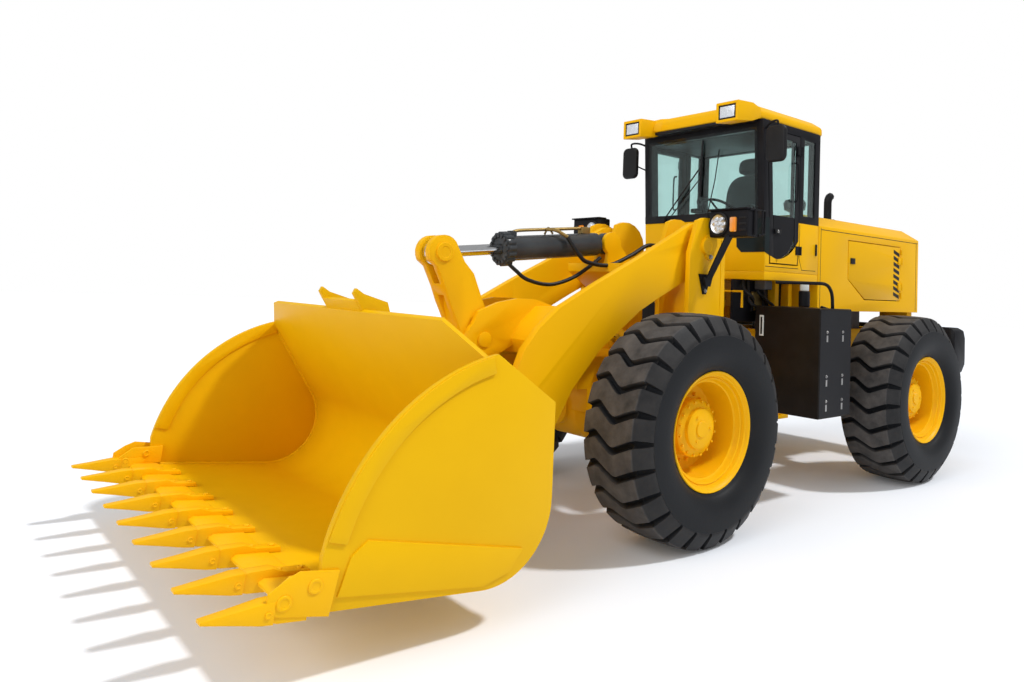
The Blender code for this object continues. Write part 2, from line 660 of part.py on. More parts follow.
def make_rear_frame(build):
    body = "rear"
    frame = build.box(
        "rear_frame", (RAIL_REAR_X, -RAIL_OUTER_Y, RAIL_BASE_Z),
        (RAIL_FRONT_X, RAIL_OUTER_Y, RAIL_TOP_Z), body, "yellow",
    )
    tools = []
    ear = HITCH_PLATE + RUN_GAP
    for word, z in (("top", HITCH_TOP_Z), ("base", HITCH_BASE_Z)):
        for level, offset in (("upper", ear), ("lower", -ear)):
            outline = arc((0, 0), HITCH_RADIUS * 0.9, -90, 90, 12)
            outline += [(RAIL_FRONT_X - HITCH_RADIUS / 2, HITCH_RADIUS * 0.9),
                        (RAIL_FRONT_X - HITCH_RADIUS / 2, -HITCH_RADIUS * 0.9)]
            tools.append(build.flat(
                "hitch_ear_" + word + level, outline, z - HITCH_PLATE / 2 + offset, HITCH_PLATE, body,
                "yellow", "XY",
            ))
        tools.append(build.cylinder(
            "hitch_pin_" + word, HITCH_PIN_RADIUS, (z - HITCH_PLATE / 2 - ear, z - HITCH_PLATE / 2 + ear),
            (0, 0, 0), "Z", body, "yellow",
        ))
    tools.append(build.box(
        "hitch_post", (RAIL_FRONT_X - HITCH_RADIUS, -HITCH_RADIUS, HITCH_BASE_Z - 2 * HITCH_PLATE),
        (RAIL_FRONT_X + OVERRUN, HITCH_RADIUS, RAIL_BASE_Z + OVERRUN), body, "yellow",
    ))
    tools.append(build.box(
        "steer_shelf", (STEER_BASE[0] - 2 * STEER_EYE_RADIUS, -STEER_BASE[1] - STEER_EYE_RADIUS,
                        STEER_Z - STEER_EYE_WIDTH / 2 - SEAT_GAP - SHELF_THICKNESS / 2),
        (RAIL_FRONT_X - HITCH_RADIUS + OVERRUN, STEER_BASE[1] + STEER_EYE_RADIUS,
         STEER_Z - STEER_EYE_WIDTH / 2 - SEAT_GAP), body, "yellow",
    ))
    tools.append(build.box(
        "axle_cradle", (REAR_AXLE_X - AXLE_BOWL_RADIUS, -RAIL_OUTER_Y, AXLE_Z),
        (REAR_AXLE_X + AXLE_BOWL_RADIUS, RAIL_OUTER_Y, RAIL_BASE_Z + OVERRUN), body, "yellow",
    ))
    for word, side in SIDES:
        low_y, high_y = sorted((side * (RAIL_OUTER_Y - OVERRUN), side * (TANK_INNER_Y - SEAT_GAP)))
        tools.append(build.box(
            "tank_bracket_" + word, (TANK_REAR_X + RAIL_THICKNESS, low_y, RAIL_BASE_Z + OVERRUN),
            (TANK_REAR_X + 3 * RAIL_THICKNESS, high_y, RAIL_TOP_Z - RAIL_THICKNESS), body, "yellow",
        ))
        low_y, high_y = sorted((side * (RAIL_OUTER_Y - RAIL_THICKNESS), side * (HOOD_HALF_WIDTH - HOOD_WALL)))
        for end, x in (("front", HOOD_FRONT_X - RAIL_THICKNESS), ("rear", HOOD_REAR_X + 2 * RAIL_THICKNESS)):
            tools.append(build.box(
                "hood_bracket_" + end + word, (x - RAIL_THICKNESS, low_y, RAIL_TOP_Z - RAIL_THICKNESS),
                (x + RAIL_THICKNESS, high_y, HOOD_BASE_Z - SEAT_GAP), body, "yellow",
            ))
        low_y, high_y = sorted((side * (RAIL_OUTER_Y - RAIL_THICKNESS), side * (TANK_INNER_Y - OVERRUN)))
        for end, x in (("front", RAIL_FRONT_X - RAIL_THICKNESS), ("rear", CAB_REAR_X + 2 * RAIL_THICKNESS)):
            tools.append(build.box(
                "cab_mount_" + end + word, (x - RAIL_THICKNESS / 2, low_y, RAIL_TOP_Z - RAIL_THICKNESS),
                (x + RAIL_THICKNESS / 2, high_y, PLATFORM_BASE_Z - SEAT_GAP), body, "yellow",
            ))
    build.fuse(frame, *tools)
    inner = RAIL_OUTER_Y - RAIL_THICKNESS
    bay = build.box(
        "rail_bay_cutter", (RAIL_REAR_X + 2 * RAIL_THICKNESS, -inner, AXLE_Z + AXLE_BOWL_RADIUS + RUN_GAP - SEAT_GAP),
        (RAIL_FRONT_X - 2 * RAIL_THICKNESS, inner, RAIL_TOP_Z + OVERRUN), body, "yellow",
    )
    seat = build.cylinder(
        "rear_axle_cutter", AXLE_TUBE_RADIUS + SEAT_GAP, (-WHEEL_Y, WHEEL_Y), (REAR_AXLE_X, 0, AXLE_Z),
        "Y", body, "yellow", AXLE_STEPS,
    )
    bowl = build.turned(
        "rear_bowl_cutter",
        [(0, 2 * AXLE_BOWL_HALF), (AXLE_TUBE_RADIUS + SEAT_GAP, 2 * AXLE_BOWL_HALF + SEAT_GAP),
         (AXLE_BOWL_RADIUS + SEAT_GAP, AXLE_BOWL_HALF), (AXLE_BOWL_RADIUS + SEAT_GAP, -AXLE_BOWL_HALF),
         (AXLE_TUBE_RADIUS + SEAT_GAP, -2 * AXLE_BOWL_HALF - SEAT_GAP), (0, -2 * AXLE_BOWL_HALF)],
        (REAR_AXLE_X, 0, AXLE_Z), "Y", body, "yellow", AXLE_STEPS,
    )
    nose = build.cylinder(
        "rear_nose_cutter", AXLE_TUBE_RADIUS + SEAT_GAP * 2, (-AXLE_BOWL_RADIUS * 1.6, AXLE_BOWL_RADIUS * 1.2),
        (REAR_AXLE_X, 0, AXLE_Z), "X", body, "yellow", AXLE_STEPS,
    )
    build.cut(frame, bay, seat, bowl, nose)
    return frame


# Boom, rocker and link

def arm_outline():
    upper = [(1.592, 1.997), (2.006, 1.797), (2.382, 1.601), (2.555, 1.462), (2.676, 1.315),
             (2.736, 1.169), (2.79, 0.98), (2.88, 0.75)]
    lower = [(2.62, 0.50), (2.42, 0.72), (2.24, 1.021), (1.981, 1.298), (1.572, 1.588), (1.349, 1.70)]
    rear = arc(BOOM_PIVOT, ARM_REAR_RADIUS, 250, 62, 12)
    tip = arc(BUCKET_PIN, ARM_TIP_RADIUS, 62, -122, 12)
    return rear + upper + tip + lower


def lug_outline():
    rear_top = (2.10, 1.60)
    rear_low = (2.30, 1.40)
    return [rear_low, rear_top, (2.28, 1.650), (2.45, 1.652), (2.62, 1.62), (2.79, 1.555)] + arc(
        ROCKER_PIN, LUG_RADIUS, 50, -120, 12)


def cross_outline():
    return [(2.02, 1.60), (2.28, 1.60), (2.42, 1.48), (2.50, 1.36), (2.45, 1.26), (2.30, 1.24), (2.08, 1.42)]


def make_boom(build):
    body = "boom"
    boom = build.flat("boom", cross_outline(), 0, 2 * ARM_INNER_Y + OVERRUN, body, "yellow")
    tools = []
    for word, side in SIDES:
        middle = side * (ARM_INNER_Y + ARM_THICKNESS / 2)
        tools.append(build.flat("arm_" + word, arm_outline(), middle, ARM_THICKNESS, body, "yellow"))
        middle = side * (LUG_INNER_Y + LUG_THICKNESS / 2)
        tools.append(build.flat("rocker_lug_" + word, lug_outline(), middle, LUG_THICKNESS, body, "yellow"))
        tools.append(build.cylinder(
            "lift_eye_pin_" + word, LIFT_ROD_RADIUS,
            (LIFT_Y + LIFT_EYE_WIDTH / 2 + SEAT_GAP, ARM_INNER_Y + OVERRUN),
            (LIFT_EYE[0], 0, LIFT_EYE[1]), "Y" if side > 0 else "-Y", body, "yellow", AXLE_STEPS,
        ))
    build.fuse(boom, *tools)
    cutters = []
    for name, (x, z), radius in (
        ("pivot", BOOM_PIVOT, BOOM_PIN_RADIUS), ("tip", BUCKET_PIN, BUCKET_PIN_RADIUS),
        ("rocker", ROCKER_PIN, ROCKER_PIN_RADIUS),
    ):
        cutters.append(build.cylinder(
            name + "_bore_cutter", radius + PIN_CLEARANCE, (-TOWER_OUTER_Y, TOWER_OUTER_Y), (x, 0, z),
            "Y", body, "yellow",
        ))
    build.cut(boom, *cutters)


def make_pins(build):
    reach = ARM_INNER_Y + ARM_THICKNESS + RUN_GAP + BUCKET_SIDE * 1.4
    start = ARM_INNER_Y - RUN_GAP - BUCKET_SIDE * 1.4
    for word, side in SIDES:
        build.cylinder(
            "bucket_pin_" + word, BUCKET_PIN_RADIUS, (start, reach), (BUCKET_PIN[0], 0, BUCKET_PIN[1]),
            "Y" if side > 0 else "-Y", "bucket", "steel",
        )
    half = LUG_INNER_Y + LUG_THICKNESS + RUN_GAP
    build.cylinder("rocker_pin", ROCKER_PIN_RADIUS, (-half, half), (ROCKER_PIN[0], 0, ROCKER_PIN[1]), "Y",
                   "rocker", "steel")
    half = ROCKER_INNER_Y + ROCKER_THICKNESS + RUN_GAP
    build.cylinder("link_pin", LINK_PIN_RADIUS, (-half, half), (LINK_REAR[0], 0, LINK_REAR[1]), "Y", "link",
                   "steel")


def rocker_outline():
    front = [(3.10, 1.86), (3.03, 1.72), (2.99, 1.62), (2.93, 1.50)]
    low_front = [(2.76, 1.15)]
    rear = [(2.60, 1.28), (2.62, 1.45), (2.72, 1.64), (2.80, 1.82), (2.88, 1.90)]
    top = arc(ROCKER_TOP, ROCKER_TOP_RADIUS, 140, -30, 10)
    low = arc(LINK_REAR, ROCKER_LOW_RADIUS, -50, -230, 10)
    return top + front + low_front + low + rear


def make_rocker(build):
    body = "rocker"
    full = 2 * (ROCKER_INNER_Y + ROCKER_THICKNESS)
    rocker = build.flat("rocker", rocker_outline(), 0, full, body, "yellow")
    hub = build.cylinder(
        "rocker_hub", ROCKER_HUB_RADIUS, (-LUG_INNER_Y + RUN_GAP, LUG_INNER_Y - RUN_GAP),
        (ROCKER_PIN[0], 0, ROCKER_PIN[1]), "Y", body, "yellow",
    )
    build.fuse(rocker, hub)
    pocket = ROCKER_INNER_Y
    upper = [(2.70, 2.20), (3.40, 2.20), (3.40, 1.74), (2.70, 1.74)]
    lower = [(2.20, 1.06), (3.00, 1.06), (3.00, 0.60), (2.20, 0.60)]
    front = [(2.97, 1.66), (3.20, 1.66), (3.20, 1.40), (2.90, 1.40)]
    cutters = [
        build.flat("rocker_top_cutter", upper, 0, 2 * pocket, body, "yellow"),
        build.flat("rocker_low_cutter", lower, 0, 2 * pocket, body, "yellow"),
        build.flat("rocker_front_cutter", front, 0, 2 * pocket, body, "yellow"),
    ]
    for name, (x, z), radius in (("rocker", ROCKER_PIN, ROCKER_PIN_RADIUS), ("link", LINK_REAR, LINK_PIN_RADIUS)):
        cutters.append(build.cylinder(
            name + "_rocker_cutter", radius + PIN_CLEARANCE, (-LUG_INNER_Y - OVERRUN, LUG_INNER_Y + OVERRUN),
            (x, 0, z), "Y", body, "yellow",
        ))
    build.cut(rocker, *cutters)
    bar = arc(LINK_REAR, LINK_EYE_RADIUS, 80, 260, 12) + arc(LINK_FRONT, LINK_EYE_RADIUS, -100, 80, 12)
    link = build.flat("link", bar, 0, LINK_THICKNESS, "link", "yellow")
    build.cut(link, build.cylinder(
        "link_bore_cutter", LINK_PIN_RADIUS + PIN_CLEARANCE, (-LINK_THICKNESS, LINK_THICKNESS),
        (LINK_REAR[0], 0, LINK_REAR[1]), "Y", "link", "yellow",
    ))


# Cylinders

def line_turn(start, end):
    """Rotation that lays local Z along the line from start to end, both as x and z."""
    return (0, math.atan2(end[0] - start[0], end[1] - start[1]), 0)


def flat_turn(start, end):
    """Rotation that lays local Z along the level line from start to end, both as x and y."""
    return (0, math.pi / 2, math.atan2(end[1] - start[1], end[0] - start[0]))


def make_cylinder_pair(build, name, base, tip, turn, eye_axis, sizes, word=""):
    """Barrel with a head and a base eye, and its rod with a rod eye."""
    reach = math.dist(base, tip)
    neck = min(sizes["eye_width"] / 2, sizes["barrel"] * 0.7)
    barrel = build.turned(
        name + "_barrel" + word,
        [(0, sizes["bore_start"]), (sizes["rod"] + BORE_GAP, sizes["bore_start"]),
         (sizes["rod"] + BORE_GAP, sizes["end"]), (sizes["head"], sizes["end"]),
         (sizes["head"], sizes["end"] - sizes["head_length"]),
         (sizes["barrel"], sizes["end"] - sizes["head_length"]), (sizes["barrel"], sizes["eye"] * 1.3),
         (neck, sizes["eye"] * 1.08), (neck, sizes["eye"] / 2),
         (0, sizes["eye"] / 2)],
        base, turn, name + "_barrel" + word, "yellow", PIN_STEPS,
    )
    eye = build.cylinder(
        name + "_base_eye" + word, sizes["eye"] * 0.9, (-sizes["eye_width"] / 2, sizes["eye_width"] / 2),
        base, eye_axis, name + "_barrel" + word, "yellow",
    )
    build.fuse(barrel, eye)
    rod = build.cylinder(
        name + "_rod" + word, sizes["rod"], (sizes["start"] - reach, 0), tip, turn,
        name + "_rod" + word, "chrome",
    )
    rod_eye = build.cylinder(
        name + "_rod_eye" + word, sizes["eye"], (-sizes["eye_width"] / 2, sizes["eye_width"] / 2), tip,
        eye_axis, name + "_rod" + word, "chrome",
    )
    build.fuse(rod, rod_eye)
    return barrel, rod


TILT_SIZES = {
    "barrel": TILT_BARREL_RADIUS, "head": TILT_HEAD_RADIUS, "head_length": TILT_HEAD_LENGTH,
    "end": TILT_BARREL_END, "rod": TILT_ROD_RADIUS, "start": TILT_ROD_START, "bore_start": TILT_BORE_START, "eye": TILT_EYE_RADIUS,
    "eye_width": TILT_EYE_WIDTH,
}
LIFT_SIZES = {
    "barrel": LIFT_BARREL_RADIUS, "head": LIFT_HEAD_RADIUS, "head_length": LIFT_HEAD_LENGTH,
    "end": LIFT_BARREL_END, "rod": LIFT_ROD_RADIUS, "start": LIFT_ROD_START, "bore_start": LIFT_BORE_START, "eye": LIFT_EYE_RADIUS,
    "eye_width": LIFT_EYE_WIDTH,
}
STEER_SIZES = {
    "barrel": STEER_BARREL_RADIUS, "head": STEER_HEAD_RADIUS, "head_length": STEER_HEAD_LENGTH,
    "end": STEER_BARREL_END, "rod": STEER_ROD_RADIUS, "start": STEER_ROD_START, "bore_start": STEER_BORE_START, "eye": STEER_EYE_RADIUS,
    "eye_width": STEER_EYE_WIDTH,
}


def make_cylinders(build):
    turn = line_turn(TILT_BASE, ROCKER_TOP)
    make_cylinder_pair(
        build, "tilt", (TILT_BASE[0], 0, TILT_BASE[1]), (ROCKER_TOP[0], 0, ROCKER_TOP[1]), turn, "Y",
        TILT_SIZES,
    )
    for word, side in SIDES:
        turn = line_turn(LIFT_BASE, LIFT_EYE)
        make_cylinder_pair(
            build, "lift", (LIFT_BASE[0], side * LIFT_Y, LIFT_BASE[1]),
            (LIFT_EYE[0], side * LIFT_Y, LIFT_EYE[1]), turn, "Y", LIFT_SIZES, "_" + word,
        )
        base = (STEER_BASE[0], side * STEER_BASE[1])
        tip = (STEER_EYE[0], side * STEER_EYE[1])
        make_cylinder_pair(
            build, "steer", (*base, STEER_Z), (*tip, STEER_Z), flat_turn(base, tip), "Z", STEER_SIZES,
            "_" + word,
        )


# Bucket

FLOOR_REAR = (3.52, 0.26)
FLOOR_FRONT = (4.40, 0.352)
EDGE_FRONT_X = 4.58
TOOTH_WIDTH = 0.10
TOOTH_COUNT = 9
EDGE_THICKNESS = 0.04
EAR_THICKNESS = 0.035
HOOK_Y = 0.27
GUARD_TOP = (3.715, 1.563)
GUARD_FOOT = (3.60, 1.345)
GUARD_INSET = 0.31
GUARD_THICKNESS = 0.025


def shell_line():
    """Middle line of the bucket's shell, from the lip along the floor and up the back."""
    return [
        FLOOR_FRONT, FLOOR_REAR, (3.42, 0.292), (3.32, 0.385), (3.25, 0.48), (3.222, 0.594),
        (3.232, 0.783), (3.27, 0.88), (3.34, 0.976), (3.466, 1.203), GUARD_FOOT, GUARD_TOP,
    ]


def thick_line(line, thickness):
    """Closed outline of a plate that follows a line of points."""
    sides = []
    for sign in (1, -1):
        edge = []
        for index, point in enumerate(line):
            before = line[max(index - 1, 0)]
            after = line[min(index + 1, len(line) - 1)]
            reach = math.dist(before, after)
            normal = ((before[1] - after[1]) / reach, (after[0] - before[0]) / reach)
            half = sign * thickness / 2
            edge.append((point[0] + normal[0] * half, point[1] + normal[1] * half))
        sides.append(edge)
    return sides[0] + list(reversed(sides[1]))


def side_outline():
    return [
        (4.505, 0.50), (4.42, 0.555), (4.38, 0.61), (4.33, 0.74), (4.28, 0.85), (4.17, 1.00),
        (4.02, 1.145), (3.87, 1.26), (3.61, 1.40), (3.20, 1.145), (3.19, 0.88), (3.30, 0.38),
        (3.50, 0.245), (4.505, 0.35),
    ]


def make_bucket(build):
    body = "bucket"
    line = shell_line()
    shell = build.flat(
        "bucket", thick_line(line[:-1], SHELL), 0, 2 * BUCKET_HALF_WIDTH - BUCKET_SIDE, body, "yellow",
    )
    tools = []
    for word, side in SIDES:
        middle = side * (BUCKET_HALF_WIDTH - BUCKET_SIDE / 2)
        tools.append(build.flat("bucket_side_" + word, side_outline(), middle, BUCKET_SIDE, body, "yellow"))
        back = [point for point in line if BUCKET_PIN[0] < point[0] < 3.35 and point[1] < 0.9]
        ear = arc(BUCKET_PIN, ARM_TIP_RADIUS, 120, 270, 12) + back
        for level, middle in (
            ("inner", ARM_INNER_Y - RUN_GAP - EAR_THICKNESS / 2),
            ("outer", ARM_INNER_Y + ARM_THICKNESS + RUN_GAP + EAR_THICKNESS / 2),
        ):
            tools.append(build.flat(
                "ear_" + level + word, ear, side * middle, EAR_THICKNESS, body, "yellow",
            ))
        link_ear = arc(LINK_FRONT, LINK_EYE_RADIUS, 110, 250, 10) + [
            (3.222, 0.594), (3.232, 0.783), (3.27, 0.88), (3.30, 0.92)]
        middle = LINK_THICKNESS / 2 + RUN_GAP + EAR_THICKNESS / 2
        tools.append(build.flat("link_ear_" + word, link_ear, side * middle, EAR_THICKNESS, body, "yellow"))
        hook = [(3.35, 0.97), (3.47, 1.195), (3.603, 1.37), (3.71, 1.57), (3.78, 1.68), (3.70, 1.69),
                (3.49, 1.56), (3.27, 1.17), (3.19, 0.90), (3.25, 0.83)]
        tools.append(build.flat("hook_" + word, hook, side * HOOK_Y, EAR_THICKNESS, body, "yellow"))
    slope = math.atan2(GUARD_TOP[0] - GUARD_FOOT[0], GUARD_TOP[1] - GUARD_FOOT[1])
    height = math.dist(GUARD_FOOT, GUARD_TOP)
    foot = BUCKET_HALF_WIDTH - BUCKET_SIDE / 3
    top = BUCKET_HALF_WIDTH - GUARD_INSET
    guard = build.flat(
        "guard", [(-foot, -OVERRUN), (foot, -OVERRUN), (top, height), (-top, height)], 0, GUARD_THICKNESS, body,
        "yellow", "YZ",
    )
    guard.location = Vector((GUARD_FOOT[0], 0, GUARD_FOOT[1])) - Vector(build.places[body])
    guard.rotation_euler = (
        Matrix.Rotation(slope, 3, "Y") @ Euler(TURNS["YZ"]).to_matrix()
    ).to_euler()
    tools.append(guard)
    build.fuse(shell, *tools)
    bore = build.cylinder(
        "bucket_bore_cutter", BUCKET_PIN_RADIUS + PIN_CLEARANCE, (-TOWER_OUTER_Y, TOWER_OUTER_Y),
        (BUCKET_PIN[0], 0, BUCKET_PIN[1]), "Y", body, "yellow",
    )
    build.cut(shell, bore)
    make_teeth(build)


def make_teeth(build):
    body = "bucket"
    slope = (FLOOR_FRONT[1] - FLOOR_REAR[1]) / (FLOOR_FRONT[0] - FLOOR_REAR[0])
    front_z = FLOOR_FRONT[1] + slope * (EDGE_FRONT_X - FLOOR_FRONT[0])
    half = EDGE_THICKNESS / 2
    start = FLOOR_FRONT[0] + 10 * SEAT_GAP
    edge_half = BUCKET_HALF_WIDTH - BUCKET_SIDE - SEAT_GAP
    outline = [
        (start, FLOOR_FRONT[1] - half), (EDGE_FRONT_X - EDGE_THICKNESS, front_z - half),
        (EDGE_FRONT_X, front_z - half / 4), (start, FLOOR_FRONT[1] + half),
    ]
    edge = build.flat("bucket_teeth", outline, 0, 2 * edge_half, body, "black")
    tip_z = front_z + half / 2
    heel_x = EDGE_FRONT_X - TOOTH_WIDTH * 0.65
    tooth = [
        (heel_x, front_z - half * 1.6), (EDGE_FRONT_X + TOOTH_WIDTH * 2, tip_z - half * 0.9),
        (TOOTH_TIP_X, tip_z), (EDGE_FRONT_X + TOOTH_WIDTH * 1.5, tip_z + half * 1.6),
        (EDGE_FRONT_X + TOOTH_WIDTH * 0.2, tip_z + half * 2.8), (heel_x, tip_z + half * 2.4),
    ]
    teeth = []
    reach = BUCKET_HALF_WIDTH - TOOTH_WIDTH / 2
    for index in range(TOOTH_COUNT):
        y = -reach + 2 * reach * index / (TOOTH_COUNT - 1)
        teeth.append(build.flat("tooth_" + str(index), tooth, y, TOOTH_WIDTH, body, "black"))
    build.fuse(edge, *teeth)


# Cab

def cab_outline(inset=0):
    """Side view of the cab's body, moved in from every wall by inset."""
    return [
        (CAB_REAR_X + inset, CAB_FLOOR_Z + inset), (CAB_FRONT_KNEE_X - inset, CAB_FLOOR_Z + inset),
        (CAB_FRONT_KNEE_X - inset, CAB_KNEE_Z), (CAB_FRONT_TOP_X - inset, CAB_TOP_Z - inset),
        (CAB_REAR_X + inset, CAB_TOP_Z - inset),
    ]


def door_outline(inset=0):
    lean = (CAB_FRONT_TOP_X - CAB_FRONT_KNEE_X) / (CAB_TOP_Z - CAB_KNEE_Z)
    base = CAB_FLOOR_Z + PILLAR
    top = CAB_TOP_Z - PILLAR
    return [
        (CAB_B_PILLAR_X + inset, base + inset), (CAB_FRONT_KNEE_X - PILLAR - inset, base + inset),
        (CAB_FRONT_KNEE_X - PILLAR - inset, CAB_KNEE_Z),
        (CAB_FRONT_KNEE_X - PILLAR - inset + lean * (top - inset - CAB_KNEE_Z), top - inset),
        (CAB_B_PILLAR_X + inset, top - inset),
    ]


def add_hinges(build, door, body, edge_x, face_y, side, heights):
    """Two knuckles beside the post, each with a leaf let into the door."""
    x, y, _ = build.places[body]
    tools = []
    for index, z in enumerate(heights):
        low, high = z - KNUCKLE_LENGTH / 2, z + KNUCKLE_LENGTH / 2
        tools.append(build.cylinder(
            body + "_knuckle_" + str(index), KNUCKLE_RADIUS, (low, high), (x, y, 0), "Z", body, "black",
            AXLE_STEPS,
        ))
        near, far = sorted((y, y - side * KNUCKLE_RADIUS * 0.9))
        tools.append(build.box(
            body + "_strap_" + str(index), (x, near, low + SEAT_GAP),
            (edge_x + DOOR_GAP + HINGE_LEAF, far, high - SEAT_GAP), body, "black",
        ))
        near, far = sorted((y - side * KNUCKLE_RADIUS / 2, face_y - side * CAB_WALL / 4))
        tools.append(build.box(
            body + "_leaf_" + str(index), (edge_x + DOOR_GAP + OVERRUN / 4, near, low + KNUCKLE_RADIUS),
            (edge_x + DOOR_GAP + HINGE_LEAF - OVERRUN / 4, far, high - KNUCKLE_RADIUS), body, "black",
        ))
    build.fuse(door, *tools)


WINDOW_SILL_Z = 2.50
WINDOW_TOP_Z = 3.22


def make_cab(build):
    body = "rear"
    cab = build.flat("cab_frame", cab_outline(), 0, 2 * CAB_HALF_WIDTH, body, "yellow")
    inner = CAB_HALF_WIDTH - CAB_WALL
    opening = CAB_HALF_WIDTH + OVERRUN
    pane = inner - PILLAR / 2
    cutters = [
        build.flat("cab_room_cutter", cab_outline(CAB_WALL), 0, 2 * inner, body, "yellow"),
        build.flat("cab_door_cutter", door_outline(-SEAT_GAP), 0, 2 * opening, body, "yellow"),
        build.box(
            "cab_front_cutter", (CAB_FRONT_KNEE_X - 2 * CAB_WALL, -pane, WINDOW_SILL_Z),
            (CAB_FRONT_TOP_X + OVERRUN, pane, WINDOW_TOP_Z), body, "yellow",
        ),
        build.box(
            "cab_rear_cutter", (CAB_REAR_X - OVERRUN, -pane, WINDOW_SILL_Z),
            (CAB_REAR_X + 2 * CAB_WALL, pane, WINDOW_TOP_Z), body, "yellow",
        ),
        build.box(
            "cab_quarter_cutter", (CAB_REAR_X + CAB_WALL + OVERRUN, -opening, WINDOW_SILL_Z),
            (CAB_B_PILLAR_X - PILLAR, opening, WINDOW_TOP_Z), body, "yellow",
        ),
    ]
    build.cut(cab, *cutters)
    for word, side in SIDES:
        middle = side * (CAB_HALF_WIDTH - CAB_WALL / 2)
        door = build.flat(
            "cab_door_" + word, door_outline(DOOR_GAP), middle, CAB_WALL, "cab_door_" + word, "yellow",
        )
        build.cut(door, build.flat(
            "door_window_cutter_" + word, door_outline(DOOR_GAP + PILLAR * 0.8), middle,
            CAB_WALL + OVERRUN, "cab_door_" + word, "yellow",
        ))
        add_hinges(build, door, "cab_door_" + word, CAB_B_PILLAR_X, side * CAB_HALF_WIDTH, side,
                   (CAB_FLOOR_Z + 3 * PILLAR, CAB_TOP_Z - 3 * PILLAR))
    build.box(
        "cab_roof", (ROOF_REAR_X, -ROOF_HALF_WIDTH, CAB_TOP_Z + SEAT_GAP),
        (ROOF_FRONT_X, ROOF_HALF_WIDTH, ROOF_TOP_Z), body, "yellow", 0.05, 3,
    )
    build.box(
        "cab_platform", (CAB_REAR_X, -CAB_HALF_WIDTH, PLATFORM_BASE_Z),
        (CAB_FRONT_KNEE_X, CAB_HALF_WIDTH, CAB_FLOOR_Z - SEAT_GAP), body, "yellow",
    )
    make_cab_inside(build)


SEAT_X = -0.30
SEAT_HALF = 0.24
SEAT_CUSHION_Z = 2.36
SEAT_BACK_Z = 2.98
CONSOLE_X = 0.06
STEERING_WHEEL_RADIUS = 0.20


def make_cab_inside(build):
    body = "rear"
    floor = CAB_FLOOR_Z + CAB_WALL + SEAT_GAP
    back_x = CAB_REAR_X + 2 * CAB_WALL
    seat = build.box(
        "seat", (back_x, -SEAT_HALF, SEAT_CUSHION_Z - CAB_WALL * 2),
        (SEAT_X + SEAT_HALF, SEAT_HALF, SEAT_CUSHION_Z), body, "seat", 0.03,
    )
    build.fuse(
        seat,
        build.box("seat_back", (back_x - OVERRUN, -SEAT_HALF * 0.95, SEAT_CUSHION_Z - CAB_WALL),
                  (back_x + 2 * CAB_WALL, SEAT_HALF * 0.95, SEAT_BACK_Z), body, "seat", 0.03),
        build.box("seat_base", (back_x + CAB_WALL, -SEAT_HALF * 0.7, floor),
                  (SEAT_X + SEAT_HALF / 2, SEAT_HALF * 0.7, SEAT_CUSHION_Z - CAB_WALL), body, "seat"),
    )
    column = build.box(
        "steering_column", (CONSOLE_X - CAB_WALL, -CAB_WALL, floor),
        (CONSOLE_X, CAB_WALL, SEAT_CUSHION_Z), body, "black",
    )
    tilt = (0, math.radians(-35), 0)
    build.fuse(column, build.cylinder(
        "steering_shaft", CAB_WALL / 3, (-CAB_WALL, 4 * CAB_WALL),
        (CONSOLE_X - CAB_WALL / 2, 0, SEAT_CUSHION_Z), tilt, body, "black", AXLE_STEPS,
    ), build.cylinder(
        "steering_wheel", STEERING_WHEEL_RADIUS, (4 * CAB_WALL - OVERRUN, 4 * CAB_WALL + OVERRUN / 2),
        (CONSOLE_X - CAB_WALL / 2, 0, SEAT_CUSHION_Z), tilt, body, "black", AXLE_STEPS,
    ))


# Hood, engine and rear end

def hood_section(inset=0):
    return [
        (HOOD_HALF_WIDTH - inset, HOOD_BASE_Z), (HOOD_HALF_WIDTH - inset, HOOD_SHOULDER_Z - inset / 2),
        (HOOD_SHOULDER_HALF - inset / 2, HOOD_RIDGE_Z - inset),
        (-HOOD_SHOULDER_HALF + inset / 2, HOOD_RIDGE_Z - inset),
        (-HOOD_HALF_WIDTH + inset, HOOD_SHOULDER_Z - inset / 2), (-HOOD_HALF_WIDTH + inset, HOOD_BASE_Z),
    ]


def engine_door_outline(inset=0):
    return [
        (DOOR_FRONT_X - inset, DOOR_BASE_Z + DOOR_SLANT * 0.6), (DOOR_FRONT_X - inset, DOOR_TOP_Z - inset),
        (DOOR_REAR_X + inset, DOOR_TOP_Z - inset), (DOOR_REAR_X + inset, DOOR_BASE_Z + inset),
        (DOOR_FRONT_X - inset - DOOR_SLANT, DOOR_BASE_Z + inset),
    ]


